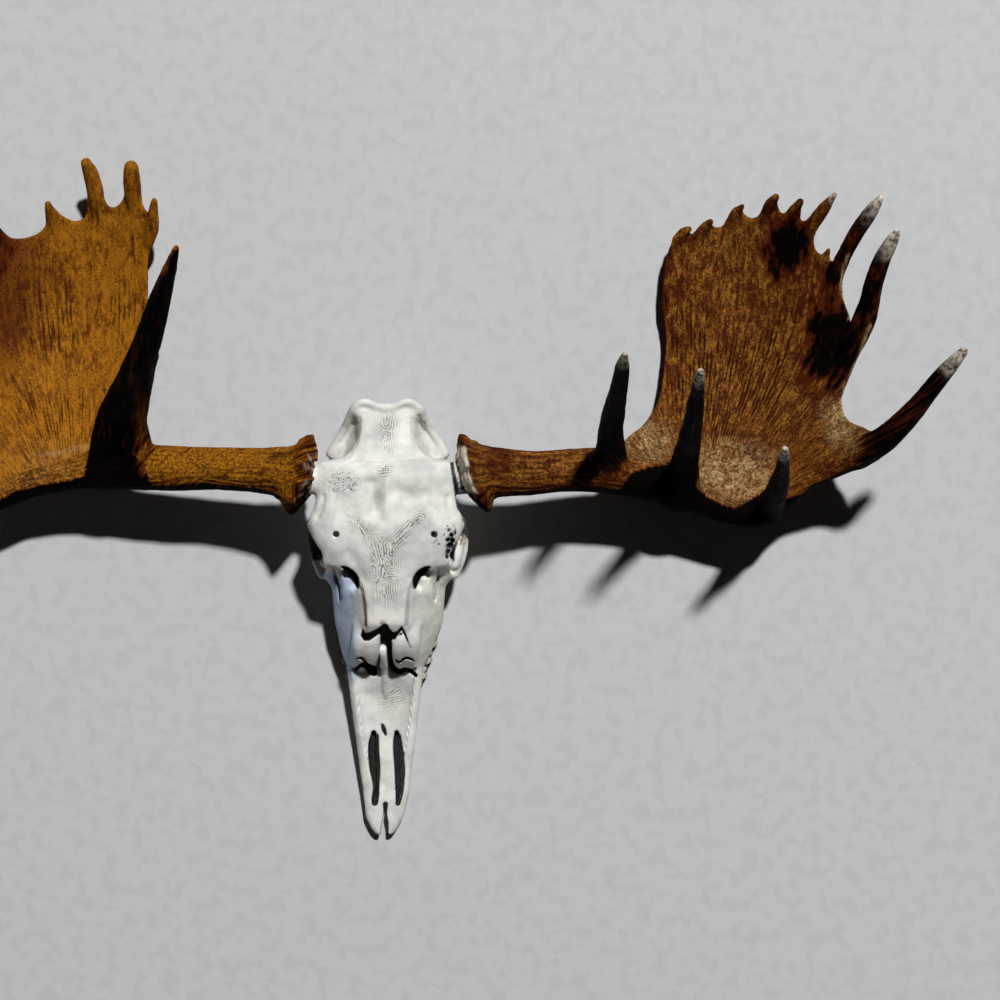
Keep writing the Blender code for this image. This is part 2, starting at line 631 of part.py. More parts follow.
def make_cranium(paint):
    skull = outer_skull()
    hollows = large_hollows()
    cut(skull, hollows)
    bpy.data.objects.remove(hollows)
    join_into(skull, added_bones())
    fuse(skull, SKULL_VOXEL)
    holes = small_hollows()
    cut(skull, holes)
    bpy.data.objects.remove(holes)
    fuse(skull, SKULL_VOXEL * 0.85)
    relax(skull, 0.5, 3)
    thin_out(skull, SKULL_TRIANGLES)
    length, width, height = PEDICLE_END_BOX
    ends = box_object("pedicle_ends", [
        Matrix.Translation((side * (PEDICLE_END_X + length / 2), PEDICLE_Y, PEDICLE_END_BOX_Z))
        @ Matrix.Diagonal((length, width, height, 1))
        for side in SIDES.values()
    ])
    cut(skull, ends)
    bpy.data.objects.remove(ends)
    sockets = tooth_sockets()
    cut(skull, sockets)
    bpy.data.objects.remove(sockets)
    finish(skull, paint)


def branch_box(points, index, half, gap):
    """A box round the branch from a point of its centre line outwards."""
    start = Vector(points[index][:3])
    tip = Vector(points[-1][:3])
    ahead = (tip - start).normalized()
    middle = start + ahead * (BRANCH_BOX_LENGTH / 2 + gap)
    turn = ahead.to_track_quat("Z", "Y").to_matrix().to_4x4()
    size = Matrix.Diagonal((2 * half, 2 * half, BRANCH_BOX_LENGTH, 1))
    return Matrix.Translation(middle) @ turn @ size


def box_object(name, places):
    bm = bmesh.new()
    for place in places:
        bmesh.ops.create_cube(bm, size=1, matrix=place)
    return new_object(name, bm, hidden=True)


def copy_of(obj, name):
    made = bpy.data.objects.new(name, obj.data.copy())
    bpy.context.scene.collection.objects.link(made)
    return made


def keep_part(whole, name, places, operation, paint):
    """A node of an antler: the whole antler with boxes taken from it, or kept of it."""
    node = copy_of(whole, name)
    boxes = box_object("boxes", places)
    cut(node, boxes, operation)
    bpy.data.objects.remove(boxes)
    finish(node, paint)


def beyond_cut(cut_place, side, gap):
    """A box over everything on the outer side of an upright cut across the beam."""
    x, y, turn = cut_place
    size = Matrix.Diagonal((FAR, FAR, FAR, 1))
    rotation = Matrix.Rotation(math.radians(-turn), 4, "Z")
    outwards = Matrix.Translation((side * (FAR / 2 + gap), 0, 0))
    return Matrix.Translation((x, y, 0)) @ rotation @ outwards @ size


def make_antler(name, limbs, outline, bowl, forks, palm_cut, paint):
    side = SIDES[name]
    bm = bmesh.new()
    add_palm(bm, outline, bowl, side)
    for limb in limbs.values():
        add_limb(bm, limb)
    add_burr(bm, side)
    whole = new_object(f"{name}_whole", bm)
    fuse(whole, ANTLER_VOXEL)
    relax(whole, 0.5, 2)
    thin_out(whole, ANTLER_TRIANGLES)
    foot_x = PEDICLE_END_X + NODE_GAP
    level = box_object("floor_and_foot", [
        Matrix.Translation((0, 0, -FAR / 2)) @ Matrix.Diagonal((FAR, FAR, FAR, 1)),
        Matrix.Translation((side * (foot_x - FAR / 2), 0, 0)) @ Matrix.Diagonal((FAR, FAR, FAR, 1)),
    ])
    cut(whole, level)
    bpy.data.objects.remove(level)
    boxes, wide_boxes = {}, []
    for branch, index in forks.items():
        half = BRANCH_BOX_HALF.get(branch, USUAL_BRANCH_BOX_HALF)
        boxes[branch] = branch_box(limbs[branch], index, half, NODE_GAP / 2)
        wide_boxes.append(branch_box(limbs[branch], index, half, -NODE_GAP / 2))
    for branch, place in boxes.items():
        keep_part(whole, f"{name}_{branch}", [place], "INTERSECT", paint)
    trimmed = copy_of(whole, "trimmed")
    away = box_object("away", wide_boxes)
    cut(trimmed, away)
    bpy.data.objects.remove(away)
    keep_part(trimmed, f"{name}_palm", [beyond_cut(palm_cut, side, NODE_GAP / 2)], "INTERSECT", paint)
    keep_part(trimmed, f"{name}_beam", [beyond_cut(palm_cut, side, -NODE_GAP / 2)], "DIFFERENCE", paint)
    bpy.data.objects.remove(trimmed)
    bpy.data.objects.remove(whole)


def main():
    clear_scene()
    bone = material("bone", *BONE)
    antler = material("antler", *ANTLER)
    enamel = material("enamel", *ENAMEL)
    make_cranium(bone)
    make_teeth(enamel)
    make_antler("right", RIGHT_LIMBS, RIGHT_PALM, RIGHT_BOWL, RIGHT_FORKS, RIGHT_PALM_CUT, antler)
    make_antler("left", LEFT_LIMBS, LEFT_PALM, LEFT_BOWL, LEFT_FORKS, LEFT_PALM_CUT, antler)


main()
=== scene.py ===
import math

import bpy
import numpy as np
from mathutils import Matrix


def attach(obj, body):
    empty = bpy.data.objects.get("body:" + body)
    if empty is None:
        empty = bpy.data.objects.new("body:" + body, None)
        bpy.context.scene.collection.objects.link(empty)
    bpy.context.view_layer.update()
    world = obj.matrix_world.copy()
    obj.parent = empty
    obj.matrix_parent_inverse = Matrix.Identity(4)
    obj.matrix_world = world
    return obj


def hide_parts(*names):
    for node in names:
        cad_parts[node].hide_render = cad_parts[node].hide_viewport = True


# Shapes are worked out in millimetres and scaled to metres when a mesh is made.
# x runs to the right of the face, y from the snout to the back of the head, z up.

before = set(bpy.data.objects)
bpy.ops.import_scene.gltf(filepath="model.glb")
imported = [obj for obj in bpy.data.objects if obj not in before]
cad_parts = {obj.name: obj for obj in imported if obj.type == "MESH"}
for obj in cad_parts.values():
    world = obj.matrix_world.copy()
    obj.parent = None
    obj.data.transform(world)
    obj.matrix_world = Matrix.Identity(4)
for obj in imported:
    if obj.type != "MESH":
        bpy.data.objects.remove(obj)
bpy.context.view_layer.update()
print("frame loaded:", len(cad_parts), "nodes")

detail = {
    "step": 1.7,  # size of the cells that the skins are drawn from
    "toothStep": 0.7,
    "mostTriangles": 185000,  # for one piece
    "metre": 0.001,
}


# Numbers, curves and noise

def easeBetween(low, high, value):
    t = np.clip((value - low) / (high - low), 0, 1)
    return t * t * (3 - 2 * t)


def mound(points, centre, radii):
    # 1 at the centre, fading to 0 at the radii
    away = sum(((points[:, i] - centre[i]) / radii[i]) ** 2 for i in range(len(centre)))
    return np.clip(1 - away, 0, 1) ** 1.5


def softMin(a, b, blend):
    t = np.clip(0.5 + 0.5 * (b - a) / blend, 0, 1)
    return b * (1 - t) + a * t - blend * t * (1 - t)


def softMax(a, b, blend):
    return -softMin(-a, -b, blend)


def throughPoints(rows, steps, closed=False):
    # a smooth curve through the rows, whatever their columns hold
    rows = np.array(rows, float)
    count = len(rows)
    found = []
    for i in range(count if closed else count - 1):
        if closed:
            a, b, c, d = (rows[(i + k) % count] for k in (-1, 0, 1, 2))
        else:
            b, c = rows[i], rows[i + 1]
            a = rows[i - 1] if i > 0 else 2 * b - c
            d = rows[i + 2] if i + 2 < count else 2 * c - b
        for t in np.linspace(0, 1, steps, endpoint=False):
            found.append(0.5 * (2 * b + (c - a) * t + (2 * a - 5 * b + 4 * c - d) * t**2
                                + (3 * b - a - 3 * c + d) * t**3))
    if not closed:
        found.append(rows[-1])
    return np.array(found)


def cellValue(cell, seed):
    h = cell[..., 0] * 374761393 + cell[..., 1] * 668265263 + cell[..., 2] * 362437 + seed * 9176263
    h = (h ^ (h >> 13)) * 1274126177
    h = h ^ (h >> 16)
    return (h & 0xFFFF) / 32767.5 - 1


def noiseAt(points, size, seed=0):
    # smooth noise from -1 to 1 in cells of the size given
    spot = points / np.array(size, float)
    cell = np.floor(spot).astype(np.int64)
    part = spot - cell
    part = part**3 * (part * (part * 6 - 15) + 10)
    total = 0
    for i in (0, 1):
        wx = part[:, 0] if i else 1 - part[:, 0]
        for j in (0, 1):
            wy = part[:, 1] if j else 1 - part[:, 1]
            for k in (0, 1):
                wz = part[:, 2] if k else 1 - part[:, 2]
                total = total + wx * wy * wz * cellValue(cell + np.array([i, j, k]), seed)
    return total


def layeredNoise(points, size, seed=0, layers=3):
    total, share, size = 0, 1, np.array(size, float)
    for layer in range(layers):
        total = total + share * noiseAt(points, size, seed + layer * 17)
        share, size = share * 0.5, size * 0.5
    return total / 1.6


def outlineDistance(ring, x, y):
    # distance in a plane to a closed ring of points, negative inside it
    ax, ay = ring[:, 0], ring[:, 1]
    rx, ry = np.roll(ax, -1) - ax, np.roll(ay, -1) - ay
    px, py = x.reshape(-1, 1), y.reshape(-1, 1)
    t = np.clip(((px - ax) * rx + (py - ay) * ry) / (rx * rx + ry * ry + 1e-9), 0, 1)
    gap = np.hypot(px - ax - t * rx, py - ay - t * ry).min(axis=1)
    crossed = ((ay > py) != (ay + ry > py)) & (px < rx * (py - ay) / (ry + 1e-12) + ax)
    inside = crossed.sum(axis=1) % 2 == 1
    return np.where(inside, -gap, gap)


def lineDistance(points, line):
    # distance in x and y to a line through the points given
    line = np.array(line, float)
    best = np.full(len(points), 1e9)
    for a, b in zip(line, line[1:]):
        run = b - a
        length = np.hypot(run[0], run[1])
        t = np.clip(((points[:, 0] - a[0]) * run[0] + (points[:, 1] - a[1]) * run[1]) / length**2, 0, 1)
        gap = np.hypot(points[:, 0] - a[0] - t * run[0], points[:, 1] - a[1] - t * run[1])
        best = np.minimum(best, gap)
    return best


def nearestLine(points, lines):
    return np.min([lineDistance(points, line) for line in lines], axis=0)


def bell(distance, width):
    return np.exp(-((distance / width) ** 2))


# A block of space that shapes are modelled in, as the distance to their surface

class ClayBlock:
    def __init__(self, low, high, step):
        self.low = np.floor(np.array(low, float) / step) * step
        self.step = step
        counts = np.ceil((np.array(high) - self.low) / step).astype(int) + 1
        self.axes = [(self.low[i] + step * np.arange(counts[i])).astype(np.float32) for i in range(3)]
        self.field = np.full(counts, 40, np.float32)

    def window(self, low, high):
        cuts = []
        for i in range(3):
            first = max(0, int((low[i] - self.low[i]) / self.step))
            last = min(len(self.axes[i]), int((high[i] - self.low[i]) / self.step) + 2)
            cuts.append(slice(first, max(first, last)))
        x = self.axes[0][cuts[0]][:, None, None]
        y = self.axes[1][cuts[1]][None, :, None]
        z = self.axes[2][cuts[2]][None, None, :]
        return tuple(cuts), x, y, z

    def add(self, cuts, distance, blend):
        self.field[cuts] = softMin(self.field[cuts], distance, blend)

    def carve(self, cuts, distance, blend):
        self.field[cuts] = softMax(self.field[cuts], -distance, blend)

    def sample(self, points):
        spot = (points - self.low) / self.step
        cell = np.clip(np.floor(spot).astype(int), 0, np.array(self.field.shape) - 2)
        part = spot - cell
        total = 0
        for i in (0, 1):
            wx = part[:, 0] if i else 1 - part[:, 0]
            for j in (0, 1):
                wy = part[:, 1] if j else 1 - part[:, 1]
                for k in (0, 1):
                    wz = part[:, 2] if k else 1 - part[:, 2]
                    corner = self.field[cell[:, 0] + i, cell[:, 1] + j, cell[:, 2] + k]
                    total = total + wx * wy * wz * corner
        return total

    def slope(self, points):
        reach = self.step * 0.8
        return np.stack([
            (self.sample(points + shift) - self.sample(points - shift)) / (2 * reach)
            for shift in np.eye(3) * reach
        ], axis=1)


def limbDistance(x, y, z, path, margin, shape):
    # distance to a chain of tapering rods, over a window of the given shape
    found = np.full(shape, 40, np.float32)
    for a, b in zip(path, path[1:]):
        run = (b - a)[:3]
        reach = max(a[3], b[3]) + margin
        low, high = np.minimum(a, b)[:3] - reach, np.maximum(a, b)[:3] + reach
        cut = tuple(
            slice(np.searchsorted(axis, low[i]), np.searchsorted(axis, high[i]))
            for i, axis in enumerate((x.ravel(), y.ravel(), z.ravel()))
        )
        dx, dy, dz = x[cut[0]] - a[0], y[:, cut[1]] - a[1], z[:, :, cut[2]] - a[2]
        t = np.clip((dx * run[0] + dy * run[1] + dz * run[2]) / max(run @ run, 1e-6), 0, 1)
        gap = np.sqrt((dx - t * run[0]) ** 2 + (dy - t * run[1]) ** 2 + (dz - t * run[2]) ** 2)
        found[cut] = np.minimum(found[cut], gap - a[3] - (b[3] - a[3]) * t)
    return found


def addLimb(block, points, blend=6, side=1, steps=4, carve=False):
    path = throughPoints(points, steps)
    path[:, 0] *= side
    margin = blend + 3 * block.step
    reach = path[:, 3:].max() + margin
    cuts, x, y, z = block.window(path[:, :3].min(axis=0) - reach, path[:, :3].max(axis=0) + reach)
    distance = limbDistance(x, y, z, path, margin, block.field[cuts].shape)
    if carve:
        block.carve(cuts, distance, blend)
    else:
        block.add(cuts, distance, blend)


def addBlob(block, blob, blend=6, side=1, carve=False):
    # a blob is a centre and three radii, and perhaps a turn about z in degrees
    centre = np.array([blob[0] * side, blob[1], blob[2]], float)
    radii = np.array(blob[3:6], float)
    turn = math.radians(blob[6] if len(blob) > 6 else 0) * side
    reach = radii.max() + blend + 3 * block.step
    cuts, x, y, z = block.window(centre - reach, centre + reach)
    dx, dy = x - centre[0], y - centre[1]
    across = dx * math.cos(turn) + dy * math.sin(turn)
    along = dy * math.cos(turn) - dx * math.sin(turn)
    share = np.sqrt((across / radii[0]) ** 2 + (along / radii[1]) ** 2 + ((z - centre[2]) / radii[2]) ** 2)
    distance = (share - 1) * radii.min()
    if carve:
        block.carve(cuts, distance, blend)
    else:
        block.add(cuts, distance, blend)


def carveSlot(block, points, low, high, blend=1.5, side=1):
    # an upright slot along a line of (x, y, half width)
    path = throughPoints(points, 5)
    path[:, 0] *= side
    rods = np.column_stack([path[:, 0], path[:, 1], np.zeros(len(path)), path[:, 2]])
    reach = path[:, 2].max() + blend + 3 * block.step
    lowest = np.array([path[:, 0].min() - reach, path[:, 1].min() - reach, low])
    highest = np.array([path[:, 0].max() + reach, path[:, 1].max() + reach, high])
    cuts, x, y, z = block.window(lowest, highest)
    flat = limbDistance(x, y, z[:, :, :1] * 0, rods, blend + 3 * block.step, (x.size, y.size, 1))
    middle, half = (low + high) / 2, (high - low) / 2
    block.carve(cuts, softMax(flat, np.abs(z - middle) - half, blend), blend)


def carvePrism(block, outline, low, high, blend=1.0):
    # cuts away an upright prism over an outline in x and y
    ring = np.array(outline, float)
    reach = blend + 3 * block.step
    lowest, highest = (*(ring.min(axis=0) - reach), low), (*(ring.max(axis=0) + reach), high)
    cuts, x, y, z = block.window(lowest, highest)
    gx, gy = np.meshgrid(x.ravel(), y.ravel(), indexing="ij")
    flat = outlineDistance(ring, gx.ravel(), gy.ravel()).reshape(x.size, y.size, 1)
    middle, half = (low + high) / 2, (high - low) / 2
    block.carve(cuts, softMax(flat, np.abs(z - middle) - half, blend), blend)


def loftDistance(sections, x, y, z, smoothing=5.0):
    # distance to a skin through half outlines (x, z) at the y of each section
    keys = sorted(sections)
    table = np.array([sections[key] for key in keys], float)
    stations = y.ravel()
    step = float(stations[1] - stations[0])
    pad = max(2, int(smoothing / step))
    wide = np.concatenate([stations[:1] - step * np.arange(pad, 0, -1), stations,
                           stations[-1:] + step * np.arange(1, pad + 1)])
    outlines = np.stack([
        np.stack([np.interp(wide, keys, table[:, i, j]) for j in (0, 1)], axis=1)
        for i in range(table.shape[1])
    ], axis=1)
    kernel = np.hanning(2 * pad + 3)[1:-1]
    kernel /= kernel.sum()
    smooth = np.apply_along_axis(lambda row: np.convolve(row, kernel, mode="valid"), 0, outlines)
    right = np.abs(x.ravel())
    halves, places = np.unique(np.round(right, 3), return_inverse=True)
    gx, gz = np.meshgrid(halves, z.ravel(), indexing="ij")
    found = np.empty((x.size, y.size, z.size), np.float32)
    for i, outline in enumerate(smooth):
        mirrored = outline[1:-1][::-1] * np.array([-1, 1])
        ring = throughPoints(np.vstack([outline, mirrored]), 3, closed=True)
        distance = outlineDistance(ring.astype(np.float32), gx.ravel(), gz.ravel())
        found[:, i, :] = distance.reshape(gx.shape)[places]
    ends = np.maximum(keys[0] - y, y - keys[-1])
    return softMax(found, ends.astype(np.float32), 3)


def skinOf(block):
    # one point in each cell that the surface passes, and a face across each edge that it cuts
    inside = block.field < 0
    corners = [(i, j, k) for i in (0, 1) for j in (0, 1) for k in (0, 1)]
    size = np.array(inside.shape) - 1
    total = np.zeros(size, np.uint8)
    for i, j, k in corners:
        total += inside[i : i + size[0], j : j + size[1], k : k + size[2]]
    active = (total > 0) & (total < 8)
    cells = np.argwhere(active)
    values = {c: block.field[tuple((cells + c).T)] for c in corners}
    spot = np.zeros((len(cells), 3))
    count = np.zeros(len(cells))
    for a in corners:
        for axis in range(3):
            if a[axis]:
                continue
            b = tuple(1 if i == axis else a[i] for i in range(3))
            cut = (values[a] < 0) != (values[b] < 0)
            t = values[a][cut] / (values[a][cut] - values[b][cut])
            spot[cut] += np.array(a)
            spot[cut, axis] += t
            count[cut] += 1
    points = block.low + block.step * (cells + spot / count[:, None])
    number = np.full(size, -1, np.int32)
    number[active] = np.arange(len(cells))
    quads = []
    for axis in range(3):
        lower = [slice(1, -1)] * 3
        upper = [slice(1, -1)] * 3
        lower[axis], upper[axis] = slice(0, -1), slice(1, None)
        low, high = inside[tuple(lower)], inside[tuple(upper)]
        edges = np.argwhere(low != high)
        outward = low[tuple(edges.T)]
        shift = np.ones(3, int)
        shift[axis] = 0
        edges += shift
        b, c = (axis + 1) % 3, (axis + 2) % 3
        around = []
        for db, dc in ((-1, -1), (0, -1), (0, 0), (-1, 0)):
            cell = edges.copy()
            cell[:, b] += db
            cell[:, c] += dc
            around.append(number[tuple(cell.T)])
        quad = np.stack(around, axis=1)
        quads.append(np.where(outward[:, None], quad, quad[:, ::-1]))
    return points, np.vstack(quads)


def withoutCrumbs(points, quads):
    # keeps the largest connected skin
    label = np.arange(len(points))
    pairs = np.vstack([quads[:, [0, 1]], quads[:, [1, 2]], quads[:, [2, 3]], quads[:, [3, 0]]])
    while True:
        least = np.minimum(label[pairs[:, 0]], label[pairs[:, 1]])
        after = label.copy()
        np.minimum.at(after, pairs[:, 0], least)
        np.minimum.at(after, pairs[:, 1], least)
        after = after[after]
        if (after == label).all():
            break
        label = after
    names, sizes = np.unique(label, return_counts=True)
    keep = label == names[sizes.argmax()]
    renumber = np.cumsum(keep) - 1
    return points[keep], renumber[quads[keep[quads[:, 0]]]]


def polish(block, points, quads, rounds=2):
    # evens out the points and brings them back to the surface
    pairs = np.vstack([quads[:, [0, 1]], quads[:, [1, 2]], quads[:, [2, 3]], quads[:, [3, 0]]])
    degree = np.bincount(pairs[:, 0], minlength=len(points))[:, None]
    for _ in range(rounds):
        near = np.stack([
            np.bincount(pairs[:, 0], weights=points[pairs[:, 1], i], minlength=len(points))
            for i in range(3)
        ], axis=1) / degree
        points = points * 0.4 + near * 0.6
        for _ in range(2):
            slope = block.slope(points)
            move = slope * (block.sample(points) / np.maximum((slope**2).sum(axis=1), 0.1))[:, None]
            length = np.linalg.norm(move, axis=1, keepdims=True)
            points = points - move * np.minimum(1, 0.6 * block.step / np.maximum(length, 1e-9))
    return points


def unitSlope(block, points):
    slope = block.slope(points)
    return slope / np.maximum(np.linalg.norm(slope, axis=1, keepdims=True), 1e-6)


def meshFrom(name, points, quads):
    mesh = bpy.data.meshes.new(name)
    mesh.vertices.add(len(points))
    mesh.vertices.foreach_set("co", (points * detail["metre"]).astype(np.float32).ravel())
    mesh.loops.add(quads.size)
    mesh.loops.foreach_set("vertex_index", quads.astype(np.int32).ravel())
    mesh.polygons.add(len(quads))
    mesh.polygons.foreach_set("loop_start", np.arange(0, quads.size, 4, dtype=np.int32))
    mesh.update(calc_edges=True)
    mesh.validate()
    obj = bpy.data.objects.new(name, mesh)
    bpy.context.scene.collection.objects.link(obj)
    return obj


def thinOut(obj, triangles):
    # lets flat places have larger faces, to keep within the number of triangles
    obj.data.calc_loop_triangles()
    count = len(obj.data.loop_triangles)
    if count > triangles:
        decimate = obj.modifiers.new("thin out", "DECIMATE")
        decimate.ratio = triangles / count
        graph = bpy.context.evaluated_depsgraph_get()
        mesh = bpy.data.meshes.new_from_object(obj.evaluated_get(graph))
        obj.modifiers.clear()
        obj.data = mesh
    obj.data.shade_smooth()


def pointsOf(obj):
    found = np.empty(len(obj.data.vertices) * 3, np.float32)
    obj.data.vertices.foreach_get("co", found)
    return found.reshape(-1, 3).astype(float) / detail["metre"]


def normalsOf(obj):
    found = np.empty(len(obj.data.vertices) * 3, np.float32)
    obj.data.vertex_normals.foreach_get("vector", found)
    return found.reshape(-1, 3).astype(float)


def setValue(obj, name, values):
    kind, field = ("FLOAT", "value") if values.ndim == 1 else ("FLOAT_VECTOR", "vector")
    layer = obj.data.attributes.new(name, kind, "POINT")
    layer.data.foreach_set(field, values.astype(np.float32).ravel())


# Building materials from nodes

class Paint:
    def __init__(self, name):
        self.material = bpy.data.materials.new(name)
        self.material.use_nodes = True
        self.nodes = self.material.node_tree.nodes
        self.links = self.material.node_tree.links
        self.shader = self.nodes["Principled BSDF"]

    def put(self, socket, value):
        if isinstance(value, bpy.types.NodeSocket):
            self.links.new(value, socket)
        elif isinstance(value, tuple) and len(value) == 3 and socket.type == "RGBA":
            socket.default_value = (*value, 1)
        else:
            socket.default_value = value

    def value(self, name):
        node = self.nodes.new("ShaderNodeAttribute")
        node.attribute_name = name
        return node.outputs["Fac"]

    def vector(self, name):
        node = self.nodes.new("ShaderNodeAttribute")
        node.attribute_name = name
        return node.outputs["Vector"]

    def axis(self, vector, index):
        node = self.nodes.new("ShaderNodeSeparateXYZ")
        self.put(node.inputs[0], vector)
        return node.outputs[index]

    def place(self):
        # the point on the object, in metres
        return self.nodes.new("ShaderNodeTexCoord").outputs["Object"]

    def stretched(self, vector, scale):
        node = self.nodes.new("ShaderNodeMapping")
        self.put(node.inputs["Vector"], vector)
        node.inputs["Scale"].default_value = scale
        return node.outputs["Vector"]

    def noise(self, vector, scale, detailLevel=3.0, roughness=0.55, distortion=0.0):
        node = self.nodes.new("ShaderNodeTexNoise")
        self.put(node.inputs["Vector"], vector)
        node.inputs["Scale"].default_value = scale
        node.inputs["Detail"].default_value = detailLevel
        node.inputs["Roughness"].default_value = roughness
        node.inputs["Distortion"].default_value = distortion
        return node.outputs["Fac"]

    def cells(self, vector, scale, randomness=1.0):
        node = self.nodes.new("ShaderNodeTexVoronoi")
        self.put(node.inputs["Vector"], vector)
        node.inputs["Scale"].default_value = scale
        node.inputs["Randomness"].default_value = randomness
        return node.outputs["Distance"]

    def span(self, value, low, high, outLow=0.0, outHigh=1.0):
        node = self.nodes.new("ShaderNodeMapRange")
        node.interpolation_type = "SMOOTHSTEP"
        self.put(node.inputs["Value"], value)
        node.inputs["From Min"].default_value = low
        node.inputs["From Max"].default_value = high
        node.inputs["To Min"].default_value = outLow
        node.inputs["To Max"].default_value = outHigh
        return node.outputs["Result"]

    def sum(self, kind, a, b):
        node = self.nodes.new("ShaderNodeMath")
        node.operation = kind
        self.put(node.inputs[0], a)
        self.put(node.inputs[1], b)
        return node.outputs[0]

    def times(self, a, b):
        return self.sum("MULTIPLY", a, b)

    def blend(self, share, a, b):
        node = self.nodes.new("ShaderNodeMix")
        node.data_type = "RGBA"
        self.put(node.inputs[0], share)
        self.put(node.inputs[6], a)
        self.put(node.inputs[7], b)
        return node.outputs[2]

    def bump(self, height, strength, distance):
        node = self.nodes.new("ShaderNodeBump")
        self.put(node.inputs["Height"], height)
        node.inputs["Strength"].default_value = strength
        node.inputs["Distance"].default_value = distance
        return node.outputs["Normal"]

    def finish(self, colour, roughness, normal):
        self.put(self.shader.inputs["Base Color"], colour)
        self.put(self.shader.inputs["Roughness"], roughness)
        self.put(self.shader.inputs["Normal"], normal)
        return self.material


# The skull

